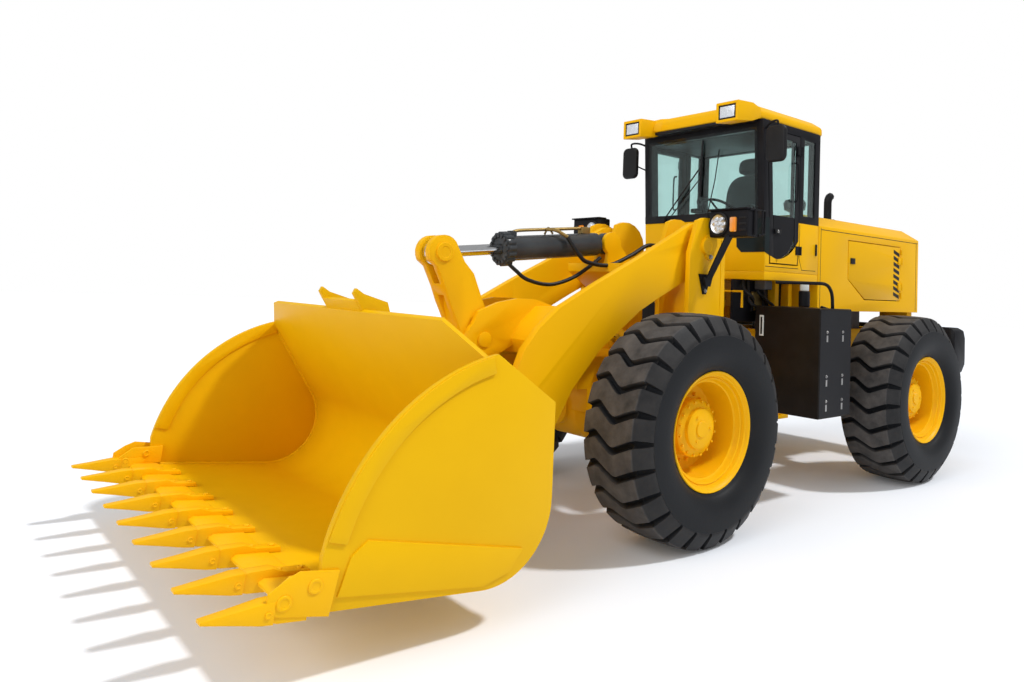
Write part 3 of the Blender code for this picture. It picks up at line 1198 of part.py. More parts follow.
def make_hood(build):
    body = "rear"
    middle = (HOOD_FRONT_X + HOOD_REAR_X) / 2
    length = HOOD_FRONT_X - HOOD_REAR_X
    hood = build.flat("hood", hood_section(), middle, length, body, "yellow", "YZ")
    inside = [(y, z - OVERRUN if z == HOOD_BASE_Z else z) for y, z in hood_section(HOOD_WALL)]
    cutters = [
        build.flat("hood_room_cutter", inside, middle, length - 2 * HOOD_WALL, body, "yellow", "YZ"),
        build.flat("hood_door_cutter", engine_door_outline(-SEAT_GAP), 0,
                   2 * (HOOD_HALF_WIDTH + OVERRUN), body, "yellow"),
    ]
    for index in range(GRILLE_COUNT):
        z = GRILLE_BASE_Z + GRILLE_PITCH * index
        cutters.append(build.box(
            "grille_cutter_" + str(index), (HOOD_REAR_X - OVERRUN, -GRILLE_HALF, z),
            (HOOD_REAR_X + HOOD_WALL + OVERRUN, GRILLE_HALF, z + GRILLE_PITCH / 2), body, "yellow",
        ))
    build.cut(hood, *cutters)
    for word, side in SIDES:
        door = build.flat(
            "engine_door_" + word, engine_door_outline(DOOR_GAP), side * (HOOD_HALF_WIDTH - HOOD_WALL / 2),
            HOOD_WALL, "engine_door_" + word, "yellow",
        )
        add_hinges(build, door, "engine_door_" + word, DOOR_REAR_X, side * HOOD_HALF_WIDTH, side,
                   (DOOR_BASE_Z + 2 * KNUCKLE_LENGTH, DOOR_TOP_Z - 2 * KNUCKLE_LENGTH))
    build.box(
        "engine", (ENGINE_REAR_X, -ENGINE_HALF, AXLE_Z + AXLE_BOWL_RADIUS + RUN_GAP),
        (ENGINE_FRONT_X, ENGINE_HALF, ENGINE_TOP_Z), body, "steel",
    )
    stack = [(EXHAUST_X, 0, HOOD_RIDGE_Z + SEAT_GAP), (EXHAUST_X, 0, EXHAUST_TOP_Z - 2 * EXHAUST_RADIUS)]
    bend = arc((EXHAUST_X - 2 * EXHAUST_RADIUS, EXHAUST_TOP_Z - 2 * EXHAUST_RADIUS), 2 * EXHAUST_RADIUS,
               20, 70, 3)
    stack += [(x, 0, z) for x, z in bend]
    exhaust = build.tube("exhaust", stack, EXHAUST_RADIUS, body, "black")
    build.fuse(exhaust, build.cylinder(
        "muffler", EXHAUST_MUFFLER_RADIUS, (HOOD_RIDGE_Z + SEAT_GAP, HOOD_RIDGE_Z + EXHAUST_MUFFLER_RADIUS),
        (EXHAUST_X, 0, 0), "Z", body, "black", AXLE_STEPS,
    ))


GRILLE_COUNT = 7
GRILLE_BASE_Z = 1.72
GRILLE_PITCH = 0.09
GRILLE_HALF = 0.50
ENGINE_FRONT_X = -1.10
ENGINE_REAR_X = -2.30
ENGINE_HALF = 0.30
ENGINE_TOP_Z = 2.05


def make_rear_end(build):
    body = "rear"
    half = COUNTERWEIGHT_HALF
    block = RAIL_REAR_X - SEAT_GAP
    weight = build.box(
        "counterweight", (REAR_X, -half, COUNTERWEIGHT_BASE_Z + 0.13), (block, half, COUNTERWEIGHT_TOP_Z),
        body, "black", 0.04,
    )
    build.fuse(weight, build.box(
        "counterweight_middle", (REAR_X + OVERRUN, -RAIL_OUTER_Y, COUNTERWEIGHT_BASE_Z),
        (block - OVERRUN, RAIL_OUTER_Y, COUNTERWEIGHT_TOP_Z - OVERRUN), body, "black",
    ))
    for word, side in SIDES:
        low_y, high_y = sorted((side * TANK_INNER_Y, side * TANK_OUTER_Y))
        build.box(
            "tank_" + word, (TANK_REAR_X, low_y, TANK_BASE_Z), (TANK_FRONT_X, high_y, TANK_TOP_Z), body,
            "black", 0.015,
        )


def make_lamps(build):
    for word, side in SIDES:
        low_y, high_y = sorted((side * LAMP_INNER_Y, side * LAMP_OUTER_Y))
        lamp = build.box(
            "headlamp_" + word, (LAMP_REAR_X, low_y, LAMP_BASE_Z), (LAMP_REAR_X + LAMP_DEPTH, high_y, LAMP_TOP_Z),
            "front", "black",
        )
        strut = build.tube(
            "headlamp_strut_" + word,
            [(LAMP_REAR_X + LAMP_DEPTH / 2, side * (LAMP_INNER_Y + OVERRUN * 2), LAMP_BASE_Z + OVERRUN),
             (LAMP_REAR_X + LAMP_DEPTH / 2, side * (TOWER_OUTER_Y + OVERRUN + SEAT_GAP * 2), 1.90),
             (LAMP_REAR_X + LAMP_DEPTH / 2, side * (TOWER_OUTER_Y + OVERRUN + SEAT_GAP * 2), 1.80)],
            OVERRUN, "front", "black",
        )
        build.fuse(lamp, strut)


def make_mirrors(build):
    for word, side in SIDES:
        y = side * MIRROR_Y
        mirror = build.box(
            "mirror_" + word, (MIRROR_X - MIRROR_DEPTH / 2, y - MIRROR_WIDTH / 2, MIRROR_Z - MIRROR_HEIGHT / 2),
            (MIRROR_X + MIRROR_DEPTH / 2, y + MIRROR_WIDTH / 2, MIRROR_Z + MIRROR_HEIGHT / 2), "rear",
            "black", 0.015,
        )
        top = MIRROR_Z + MIRROR_HEIGHT / 2
        arm_z = CAB_TOP_Z - PILLAR / 2
        bracket = build.tube(
            "mirror_bracket_" + word,
            [(MIRROR_X, y, top - OVERRUN), (MIRROR_X, y, arm_z),
             (CAB_FRONT_TOP_X - PILLAR / 2, side * (CAB_HALF_WIDTH + OVERRUN), arm_z),
             (CAB_FRONT_TOP_X - PILLAR / 2, side * (CAB_HALF_WIDTH + SEAT_GAP), arm_z)],
            OVERRUN / 2, "rear", "black",
        )
        build.fuse(mirror, bracket)


def main():
    build = Builder()
    make_wheels(build)
    make_axles(build)
    make_front_frame(build)
    make_rear_frame(build)
    make_boom(build)
    make_pins(build)
    make_rocker(build)
    make_cylinders(build)
    make_bucket(build)
    make_cab(build)
    make_hood(build)
    make_rear_end(build)
    make_lamps(build)
    make_mirrors(build)


main()
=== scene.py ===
import math

import bmesh
import bpy
import numpy as np
from mathutils import Matrix, Vector


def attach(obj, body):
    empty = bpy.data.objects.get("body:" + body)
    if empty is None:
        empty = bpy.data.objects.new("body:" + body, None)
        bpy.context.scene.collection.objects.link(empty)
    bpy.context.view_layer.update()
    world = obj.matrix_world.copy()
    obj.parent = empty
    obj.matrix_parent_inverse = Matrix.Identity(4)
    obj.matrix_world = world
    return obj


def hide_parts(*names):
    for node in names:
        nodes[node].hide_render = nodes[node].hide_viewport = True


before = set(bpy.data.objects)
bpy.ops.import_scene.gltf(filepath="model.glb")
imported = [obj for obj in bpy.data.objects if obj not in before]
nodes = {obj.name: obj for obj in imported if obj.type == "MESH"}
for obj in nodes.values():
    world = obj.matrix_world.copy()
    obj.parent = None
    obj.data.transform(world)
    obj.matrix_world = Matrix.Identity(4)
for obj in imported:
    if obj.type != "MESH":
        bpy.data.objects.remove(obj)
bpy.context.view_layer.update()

# Lengths run forward from the articulation, which stands here in the row frame.
HITCH_X = -0.85
SIDES = (("left", 1), ("right", -1))
WHEELS = {
    "front_left": (1.63, 1), "front_right": (1.63, -1),
    "rear_left": (-1.63, 1), "rear_right": (-1.63, -1),
}
WHEEL_Y = 1.125
AXLE_Z = 0.80
TYRE_RADIUS = 0.80


def at(x, y, z):
    return Vector((x + HITCH_X, y, z))


# Shader node helpers

class Net:
    """A node tree with short calls to add nodes and links."""

    def __init__(self, tree):
        self.tree = tree

    def node(self, kind, settings=None, **inputs):
        made = self.tree.nodes.new(kind)
        for key, value in (settings or {}).items():
            setattr(made, key, value)
        for key, value in inputs.items():
            self.feed(made, key, value)
        return made

    def feed(self, node, key, value):
        """Feeds an input, given by its label or as i and its number, from a socket or a value."""
        numbered = key[:1] == "i" and key[1:].isdigit()
        socket = node.inputs[int(key[1:])] if numbered else node.inputs[key]
        if isinstance(value, bpy.types.NodeSocket):
            self.tree.links.new(value, socket)
        else:
            socket.default_value = value

    def math(self, operation, a, b=0.0, clamp=False):
        settings = {"operation": operation, "use_clamp": clamp}
        return self.node("ShaderNodeMath", settings, i0=a, i1=b).outputs[0]

    def mix(self, factor, a, b):
        return self.node("ShaderNodeMix", {"data_type": "RGBA"}, i0=factor, i6=a, i7=b).outputs[2]

    def noise(self, vector, scale, detail=3.0, roughness=0.5):
        return self.node("ShaderNodeTexNoise", Vector=vector, Scale=scale, Detail=detail,
                         Roughness=roughness).outputs[0]

    def ramp(self, value, low, high):
        return self.node("ShaderNodeMapRange", {"clamp": True}, i0=value, i1=low, i2=high).outputs[0]

    def place(self, stretch=None):
        """Object coordinates, stretched where a pattern is drawn out."""
        place = self.node("ShaderNodeTexCoord").outputs["Object"]
        return self.node("ShaderNodeMapping", Vector=place, Scale=stretch).outputs[0] if stretch else place


def make_group(name, inputs, outputs):
    """An empty shader node group with named inputs and outputs."""
    group = bpy.data.node_groups.new(name, "ShaderNodeTree")
    for label, kind, value in inputs:
        socket = group.interface.new_socket(label, in_out="INPUT", socket_type=kind)
        if value is not None:
            socket.default_value = value
    for label, kind in outputs:
        group.interface.new_socket(label, in_out="OUTPUT", socket_type=kind)
    net = Net(group)
    return group, net, net.node("NodeGroupInput"), net.node("NodeGroupOutput")


def edge_wear_group():
    """A mask of worn edges, from how far a bevelled normal turns from the real one."""
    group, net, given, out = make_group(
        "edge_wear", [("Width", "NodeSocketFloat", 0.008), ("Amount", "NodeSocketFloat", 0.5)],
        [("Mask", "NodeSocketFloat")],
    )
    bevel = net.node("ShaderNodeBevel", {"samples": 4}, Radius=given.outputs["Width"])
    face = net.node("ShaderNodeNewGeometry")
    facing = net.node("ShaderNodeVectorMath", {"operation": "DOT_PRODUCT"}, i0=bevel.outputs[0],
                      i1=face.outputs["Normal"])
    turned = net.math("SUBTRACT", 1.0, facing.outputs["Value"])
    place = net.place()
    broken = net.ramp(net.noise(place, 26.0, 6.0, 0.7), 0.42, 0.72)
    edge = net.ramp(turned, 0.02, 0.16)
    worn = net.math("MULTIPLY", net.math("MULTIPLY", edge, broken), given.outputs["Amount"], True)
    net.feed(out, "Mask", worn)
    return group


def dust_group():
    """A mask of settled dust, thicker near the ground and on faces that look up."""
    group, net, given, out = make_group(
        "settled_dust", [("Top", "NodeSocketFloat", 1.2), ("Amount", "NodeSocketFloat", 0.2)],
        [("Mask", "NodeSocketFloat")],
    )
    place = net.place()
    height = net.node("ShaderNodeSeparateXYZ", Vector=place).outputs["Z"]
    low = net.math("SUBTRACT", 1.0, net.math("DIVIDE", height, given.outputs["Top"], True), True)
    up = net.node("ShaderNodeSeparateXYZ", Vector=net.node("ShaderNodeNewGeometry").outputs["Normal"])
    lying = net.ramp(up.outputs["Z"], 0.2, 1.0)
    patches = net.ramp(net.noise(place, 3.5, 8.0, 0.62), 0.38, 0.75)
    both = net.math("ADD", net.math("MULTIPLY", low, 0.8), net.math("MULTIPLY", lying, 0.35))
    mask = net.math("MULTIPLY", net.math("MULTIPLY", both, patches), given.outputs["Amount"], True)
    net.feed(out, "Mask", mask)
    return group


def surface_group():
    """Fine unevenness: a height for bump and a slow change for colour and roughness."""
    group, net, given, out = make_group(
        "uneven_surface", [("Fine", "NodeSocketFloat", 400.0), ("Broad", "NodeSocketFloat", 2.0)],
        [("Height", "NodeSocketFloat"), ("Change", "NodeSocketFloat")],
    )
    place = net.place()
    net.feed(out, "Height", net.noise(place, given.outputs["Fine"], 3.0))
    net.feed(out, "Change", net.noise(place, given.outputs["Broad"], 4.0, 0.55))
    return group


GROUPS = {"wear": edge_wear_group(), "dust": dust_group(), "uneven": surface_group()}
DUST_COLOUR = (0.42, 0.36, 0.27, 1.0)


class Finish(Net):
    """A material with a Principled BSDF, fed by the shared groups."""

    def __init__(self, name, colour, roughness, **plain):
        material = bpy.data.materials.new(name)
        material.use_nodes = True
        super().__init__(material.node_tree)
        self.tree.nodes.clear()
        self.material = material
        self.shader = self.node("ShaderNodeBsdfPrincipled")
        output = self.node("ShaderNodeOutputMaterial")
        self.tree.links.new(self.shader.outputs[0], output.inputs[0])
        for key, value in plain.items():
            self.shader.inputs[key.replace("_", " ")].default_value = value
        self.colour = (*colour, 1.0)
        self.roughness = roughness
        material.diffuse_color = self.colour

    def group(self, key, **inputs):
        made = self.tree.nodes.new("ShaderNodeGroup")
        made.node_tree = GROUPS[key]
        for label, value in inputs.items():
            self.feed(made, label, value)
        return made

    def cover(self, mask, colour, roughness):
        """Lays another colour and roughness over what is there, by a mask."""
        self.colour = self.mix(mask, self.colour, (*colour[:3], 1.0))
        spread = self.math("SUBTRACT", roughness, self.roughness)
        self.roughness = self.math("ADD", self.roughness, self.math("MULTIPLY", mask, spread))

    def vary(self, fine, broad, edges, colour, roughness):
        """A slow change to another colour and roughness; gives the fine height for a bump."""
        uneven = self.group("uneven", Fine=fine, Broad=broad)
        self.cover(self.ramp(uneven.outputs["Change"], *edges), colour, roughness)
        return uneven.outputs["Height"]

    def wear(self, width, amount, colour, roughness):
        mask = self.group("wear", Width=width, Amount=amount).outputs["Mask"]
        self.cover(mask, colour, roughness)

    def dust(self, top, amount, roughness):
        mask = self.group("dust", Top=top, Amount=amount).outputs["Mask"]
        self.cover(mask, DUST_COLOUR, roughness)

    def bump(self, height, strength, distance):
        made = self.node("ShaderNodeBump", Height=height, Strength=strength, Distance=distance)
        self.tree.links.new(made.outputs[0], self.shader.inputs["Normal"])

    def done(self):
        self.feed(self.shader, "Base Color", self.colour)
        self.feed(self.shader, "Roughness", self.roughness)
        return self.material


def shade(colour, factor, lift=0.0):
    return tuple(min(1.0, c * factor + lift) for c in colour)


def yellow_paint():
    made = Finish("yellow_paint", (0.90, 0.480, 0.0012), 0.38, Specular_IOR_Level=0.13)
    height = made.vary(160.0, 1.6, (0.35, 0.75), (0.88, 0.460, 0.001), 0.44)
    made.wear(0.006, 0.12, (0.80, 0.50, 0.05), 0.5)
    made.dust(1.1, 0.06, 0.75)
    made.bump(height, 0.08, 0.0006)
    return made.done()


def worn_yellow():
    """The bucket's paint, rubbed by what it carries; its base colour is a darker copy of the yellow paint, painted
    shade against the stronger light on the bucket.
    """
    made = Finish("worn_yellow", (0.81, 0.460, 0.0012), 0.40, Specular_IOR_Level=0.12)
    height = made.vary(90.0, 2.4, (0.35, 0.75), (0.78, 0.435, 0.001), 0.46)
    scratches = made.ramp(made.noise(made.place((3.0, 60.0, 3.0)), 4.0, 6.0, 0.7), 0.66, 0.80)
    made.cover(made.math("MULTIPLY", scratches, 0.10), (0.60, 0.36, 0.06), 0.5)
    made.wear(0.010, 0.14, (0.80, 0.52, 0.06), 0.5)
    made.bump(height, 0.12, 0.001)
    return made.done()


def black_paint(name="black_paint", colour=(0.008, 0.008, 0.010), roughness=0.40):
    made = Finish(name, colour, roughness, Specular_IOR_Level=0.13)
    height = made.vary(220.0, 3.0, (0.4, 0.8), shade(colour, 1.5, 0.003), roughness + 0.1)
    made.wear(0.005, 0.22, (0.09, 0.088, 0.085), 0.5)
    made.dust(1.4, 0.03, 0.8)
    made.bump(height, 0.15, 0.0008)
    return made.done()


def rubber():
    """Tyre rubber: pale on the rolling faces, dark on the walls, near black in the grooves, where the darker colour
    is painted shade.
    """
    made = Finish("tyre_rubber", (0.009, 0.010, 0.012), 0.50, Specular_IOR_Level=0.17)
    height = made.vary(60.0, 3.0, (0.35, 0.8), (0.015, 0.016, 0.018), 0.58)
    tread = made.node("ShaderNodeAttribute", {"attribute_name": "tread"}).outputs["Fac"]
    rolled = made.math("MULTIPLY", tread, made.ramp(made.noise(made.place(), 9.0, 6.0, 0.6), 0.1, 0.75))
    made.cover(rolled, (0.105, 0.096, 0.090), 0.66)
    # Painted shade: the grooves' rubber is coloured darker than the walls'.
    groove = made.node("ShaderNodeAttribute", {"attribute_name": "groove"}).outputs["Fac"]
    made.cover(groove, (0.007, 0.008, 0.010), 0.8)
    made.wear(0.008, 0.35, (0.085, 0.080, 0.076), 0.7)
    made.bump(height, 0.30, 0.002)
    return made.done()


def plastic(name, colour, roughness=0.5):
    made = Finish(name, colour, roughness, Specular_IOR_Level=0.25)
    height = made.vary(700.0, 5.0, (0.45, 0.85), shade(colour, 1.5, 0.004), roughness + 0.08)
    made.bump(height, 0.22, 0.0005)
    return made.done()


def bare_metal(name, colour, roughness, spread=0.12):
    made = Finish(name, colour, roughness, Metallic=1.0)
    lines = made.ramp(made.noise(made.place((2.0, 60.0, 2.0)), 12.0, 5.0), 0.3, 0.7)
    made.cover(lines, shade(colour, 0.82), roughness + spread)
    made.bump(lines, 0.04, 0.0005)
    return made.done()


def seat_cloth():
    made = Finish("seat_cloth", (0.030, 0.032, 0.036), 0.9, Sheen_Weight=0.3)
    weave = made.node("ShaderNodeTexChecker", Vector=made.place(), Scale=420.0).outputs[1]
    made.cover(weave, (0.055, 0.057, 0.062), 0.95)
    made.bump(weave, 0.5, 0.0008)
    return made.done()


def tinted_glass(name="cab_glass", colour=(0.66, 0.84, 0.82), roughness=0.02):
    """Thin tinted panes: light passes straight through, with a sheen on top."""
    made = Finish(name, colour, roughness, Transmission_Weight=1.0, IOR=1.45)
    uneven = made.group("uneven", Fine=30.0, Broad=1.2)
    made.cover(uneven.outputs["Change"], shade(colour, 0.93), roughness + 0.01)
    made.bump(uneven.outputs["Height"], 0.02, 0.0005)
    return made.done()


def lamp_plastic(name, colour, glow):
    made = Finish(name, colour, 0.15, Transmission_Weight=0.6, IOR=1.5)
    ribs = made.node("ShaderNodeTexWave", {"bands_direction": "Z"}, Vector=made.place(), Scale=32.0).outputs[1]
    made.cover(ribs, shade(colour, 0.8), 0.2)
    made.bump(ribs, 0.4, 0.002)
    # Painted glow: the lenses emit light, and the red reflectors at the back share the red lens finish and glow too,
    # though they are no lamps.
    made.shader.inputs["Emission Color"].default_value = (*colour, 1.0)
    made.shader.inputs["Emission Strength"].default_value = glow
    return made.done()


# Each finish with the slot of its pieces
FINISHES = {
    "yellow": (yellow_paint(), "yellow"),
    "worn_yellow": (worn_yellow(), "yellow"),
    "black_paint": (black_paint(), "black_paint"),
    "cylinder_grey": (black_paint("cylinder_grey", (0.045, 0.049, 0.053), 0.20), "black_paint"),
    "rubber": (rubber(), "rubber"),
    "black_plastic": (plastic("black_plastic", (0.008, 0.008, 0.009)), "black_plastic"),
    "dash_grey": (plastic("dash_grey", (0.07, 0.075, 0.08), 0.55), "black_plastic"),
    "chrome": (bare_metal("rod_chrome", (0.78, 0.79, 0.81), 0.10, 0.06), "chrome"),
    "steel": (bare_metal("plain_steel", (0.42, 0.41, 0.40), 0.32), "steel"),
    "brass": (bare_metal("pipe_brass", (0.36, 0.25, 0.09), 0.5), "steel"),
    "lamp_face": (bare_metal("lamp_reflector", (0.86, 0.88, 0.92), 0.24, 0.10), "chrome"),
    "red": (lamp_plastic("red_lens", (0.60, 0.02, 0.01), 0.10), "black_plastic"),
    "white_plastic": (plastic("white_plastic", (0.62, 0.66, 0.64), 0.4), "black_plastic"),
    "battery_black": (black_paint("box_black", (0.011, 0.0085, 0.007), 0.28), "black_paint"),
    "gloss_black": (black_paint("gloss_black", (0.010, 0.016, 0.017), 0.08), "black_paint"),
    "hose": (plastic("hose_rubber", (0.010, 0.010, 0.011), 0.45), "rubber"),
    "mirror": (bare_metal("mirror_face", (0.85, 0.87, 0.88), 0.03, 0.01), "chrome"),
    "cast_iron": (plastic("cast_iron", (0.10, 0.10, 0.105), 0.6), "cast_iron"),
    "seat_cloth": (seat_cloth(), "seat_cloth"),
    "glass": (tinted_glass(), "black_plastic"),
    "clear": (tinted_glass("lamp_glass", (0.95, 0.96, 0.97), 0.03), "black_plastic"),
    "amber": (lamp_plastic("amber_lens", (0.95, 0.36, 0.02), 0.25), "black_plastic"),
}


# Mesh helpers

def add_object(name, data):
    thing = bpy.data.objects.new(name, data)
    bpy.context.scene.collection.objects.link(thing)
    return thing


def finish_piece(thing, body, finish, replaced=(), angle=32.0):
    """Smooths a piece, gives it its finish and lets it ride on its body."""
    mesh = thing.data
    mesh.polygons.foreach_set("use_smooth", [True] * len(mesh.polygons))
    mesh.set_sharp_from_angle(angle=math.radians(angle))
    material, slot = FINISHES[finish]
    mesh.materials.clear()
    mesh.materials.append(material)
    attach(thing, body)
    if replaced:
        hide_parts(*replaced)
    return thing


def bake(thing):
    """Applies a mesh object's modifiers."""
    graph = bpy.context.evaluated_depsgraph_get()
    made = bpy.data.meshes.new_from_object(thing.evaluated_get(graph))
    old = thing.data
    thing.modifiers.clear()
    thing.data = made
    bpy.data.meshes.remove(old)


def new_piece(name, bm, body, finish, place=None, replaced=(), angle=32.0, soft=None):
    """Makes a piece; soft is the width and segments of its bevel and the least angle of an edge for it."""
    mesh = bpy.data.meshes.new(name)
    bmesh.ops.recalc_face_normals(bm, faces=bm.faces)
    if place is not None:
        bm.transform(place)
    bm.to_mesh(mesh)
    bm.free()
    thing = add_object(name, mesh)
    if soft:
        width, segments, edge_angle = soft
        bevel = thing.modifiers.new("bevel", "BEVEL")
        bevel.width = width
        bevel.segments = segments
        bevel.limit_method = "ANGLE"
        bevel.angle_limit = math.radians(edge_angle)
        bevel.harden_normals = False
        bevel.use_clamp_overlap = True
        bake(thing)
    return finish_piece(thing, body, finish, replaced, angle)


def node_form(node):
    """A CAD node's own form, without the edges inside its flat faces."""
    bm = bmesh.new()
    bm.from_mesh(nodes[node].data)
    bmesh.ops.remove_doubles(bm, verts=bm.verts, dist=0.0002)
    bmesh.ops.dissolve_limit(bm, angle_limit=math.radians(0.6), verts=bm.verts, edges=bm.edges)
    return bm


def cut_off(bm, point, outward):
    """Cuts away what lies beyond a plane and closes the cut."""
    cut = bmesh.ops.bisect_plane(bm, geom=bm.verts[:] + bm.edges[:] + bm.faces[:], dist=1e-5,
                                 plane_co=point, plane_no=outward, clear_outer=True)
    edges = [e for e in cut["geom_cut"] if isinstance(e, bmesh.types.BMEdge)]
    bmesh.ops.holes_fill(bm, edges=edges, sides=0)


def circle(radius, steps):
    return [(radius * math.cos(t), radius * math.sin(t))
            for t in np.linspace(0, 2 * math.pi, steps, endpoint=False)]


def join_rings(bm, low, high, steps):
    """Faces between two rings; a ring of one vertex is a pole."""
    for i in range(steps):
        j = (i + 1) % steps
        corners = [low[i % len(low)], low[j % len(low)], high[j % len(high)], high[i % len(high)]]
        face = list(dict.fromkeys(corners))
        if len(face) > 2:
            bm.faces.new(face)


def skin(bm, rings):
    """A closed solid through rings of points."""
    rings = [[bm.verts.new(point) for point in ring] for ring in rings]
    for low, high in zip(rings, rings[1:]):
        join_rings(bm, low, high, len(low))
    bm.faces.new(rings[0][::-1])
    bm.faces.new(rings[-1])


def lathe(name, profile, body, finish, place, steps=64, replaced=(), angle=32.0):
    """Turns a closed profile of (radius, height) round Z, then places it."""
    bm = bmesh.new()
    rings = []
    for radius, height in profile:
        points = [(0, 0)] if radius < 1e-6 else circle(radius, steps)
        rings.append([bm.verts.new((x, y, height)) for x, y in points])
    pairs = list(zip(rings, rings[1:]))
    if len(rings[0]) > 1:
        pairs.append((rings[-1], rings[0]))
    for low, high in pairs:
        join_rings(bm, low, high, steps)
    return new_piece(name, bm, body, finish, place, replaced, angle)


def turn_to(origin, direction):
    """A matrix that puts Z along a direction at a point."""
    turn = Vector(direction).normalized().to_track_quat("Z", "Y").to_matrix().to_4x4()
    return Matrix.Translation(origin) @ turn


def rod(name, start, end, radius, body, finish, steps=32, edge=0.0, replaced=()):
    """A round bar with softened ends."""
    start, end = Vector(start), Vector(end)
    length = (end - start).length
    edge = edge or radius * 0.12
    profile = [(0, 0), (radius - edge, 0), (radius, edge), (radius, length - edge),
               (radius - edge, length), (0, length)]
    return lathe(name, profile, body, finish, turn_to(start, end - start), steps, replaced)


def block(name, low, high, body, finish, bevel=0.01, segments=2, replaced=()):
    """A box with rounded edges between two corners, forward from the articulation."""
    low, high = Vector(low), Vector(high)
    bm = bmesh.new()
    bmesh.ops.create_cube(bm, size=1.0)
    middle, size = (low + high) / 2, high - low
    bm.transform(Matrix.Translation(at(*middle)) @ Matrix.Diagonal((*size, 1.0)))
    bmesh.ops.bevel(bm, geom=bm.edges[:], offset=bevel, segments=segments, affect="EDGES", profile=0.6,
                    clamp_overlap=True)
    return new_piece(name, bm, body, finish, replaced=replaced)


def smooth_path(points, per=8):
    """A Catmull-Rom line through points."""
    points = [Vector(p) for p in points]
    padded = [2 * points[0] - points[1], *points, 2 * points[-1] - points[-2]]
    line = []
    for a, b, c, d in zip(padded, padded[1:], padded[2:], padded[3:]):
        for t in np.linspace(0, 1, per, endpoint=False):
            line.append(0.5 * (2 * b + (c - a) * t + (2 * a - 5 * b + 4 * c - d) * t * t
                               + (3 * b - a - 3 * c + d) * t * t * t))
    line.append(points[-1])
    return line


def tube(name, points, radius, body, finish, steps=12, smooth=True):
    """A round tube swept along points, forward from the articulation, closed at both ends."""
    line = [at(*p) for p in points]
    if smooth:
        line = smooth_path(line)
    rings = []
    side = None
    for i, point in enumerate(line):
        ahead = (line[min(i + 1, len(line) - 1)] - line[max(i - 1, 0)]).normalized()
        if side is None:
            side = ahead.orthogonal().normalized()
        side = (side - ahead * side.dot(ahead)).normalized()
        other = ahead.cross(side)
        rings.append([point + x * side + y * other for x, y in circle(radius, steps)])
    bm = bmesh.new()
    skin(bm, rings)
    return new_piece(name, bm, body, finish)


def add_cone(bm, place, segments, foot, top, depth):
    """A capped prism centred on a place, along its Z."""
    made = bmesh.ops.create_cone(bm, cap_ends=True, segments=segments, radius1=foot, radius2=top,
                                 depth=depth)
    bmesh.ops.transform(bm, matrix=place, verts=made["verts"])


def bolts(name, places, direction, radius, height, body):
    """Steel hexagon heads on washers, as one piece."""
    bm = bmesh.new()
    for place in places:
        spot = turn_to(at(*place), direction)
        washer, head = (spot @ Matrix.Translation((0, 0, height * level)) for level in (0.15, 0.65))
        add_cone(bm, washer, 20, radius * 1.45, radius * 1.4, height * 0.3)
        add_cone(bm, head, 6, radius, radius * 0.93, height * 0.8)
    return new_piece(name, bm, body, "steel", angle=25)


def arc(centre, radius, start, end, count):
    """Points on an arc, angles in degrees."""
    return [(centre[0] + radius * math.cos(t), centre[1] + radius * math.sin(t))
            for t in np.radians(np.linspace(start, end, count + 1))]


def rect(x0, z0, x1, z1):
    return [(x0, z0), (x1, z0), (x1, z1), (x0, z1)]


def add_prism(bm, outline, low, high):
    """An XZ outline between two Y levels, as a closed solid."""
    skin(bm, [[at(x, y, z) for x, z in outline] for y in (low, high)])


def add_layer(bm, outline, side, near, far):
    """An XZ outline between two distances from the middle plane, on one side of it."""
    add_prism(bm, outline, *sorted((side * near, side * far)))


def add_disc(bm, place, direction, radius, height, steps=32, edge=0.003):
    """A low round boss with a softened rim, standing on a place."""
    spot = turn_to(at(*place), direction)
    profile = ((radius, 0.0), (radius, height - edge), (radius - edge, height), (radius * 0.62, height),
               (radius * 0.58, height - edge))
    skin(bm, [[spot @ Vector((x, y, level)) for x, y in circle(r, steps)] for r, level in profile])


# Stage: camera, lights and floor

# Solved from the photograph; the centre is the shift in pixels of its optical axis
CAMERA_AT = (5.84, 4.654, 1.738)
CAMERA_YAW = math.radians(228.808)
CAMERA_PITCH = math.radians(2.869)
CAMERA_ROLL = math.radians(2.2097)
FOCAL_PIXELS = 760.09
CENTRE_RIGHT, CENTRE_DOWN = 62.64, -90.09
PICTURE_WIDTH = 1024
# Sun lamps: name, strength, spread in degrees, direction toward the lamp
SUNS = (("key", 2.1, 5, (-0.42, 0.42, 0.86)), ("fill", 1.5, 50, (0.80, 0.10, 0.55)))
# The studio's light on the machine, and the floor's own glow for the camera
SOFT_LIGHT, FLOOR_GLOW = 0.41, 0.04
FLOOR_RADIUS = 60


def make_camera():
    data = bpy.data.cameras.new("camera")
    data.sensor_width = 36.0
    data.lens = FOCAL_PIXELS * data.sensor_width / PICTURE_WIDTH
    data.shift_x = -CENTRE_RIGHT / PICTURE_WIDTH
    data.shift_y = CENTRE_DOWN / PICTURE_WIDTH
    camera = add_object("camera", data)
    ahead = Vector((math.cos(CAMERA_PITCH) * math.cos(CAMERA_YAW),
                    math.cos(CAMERA_PITCH) * math.sin(CAMERA_YAW), math.sin(CAMERA_PITCH)))
    right = ahead.cross(Vector((0, 0, 1))).normalized()
    up = right.cross(ahead)
    cos, sin = math.cos(CAMERA_ROLL), math.sin(CAMERA_ROLL)
    right, up = cos * right + sin * up, cos * up - sin * right
    turn = Matrix((right, up, -ahead)).transposed().to_4x4()
    camera.matrix_world = Matrix.Translation(at(*CAMERA_AT)) @ turn
    bpy.context.scene.camera = camera


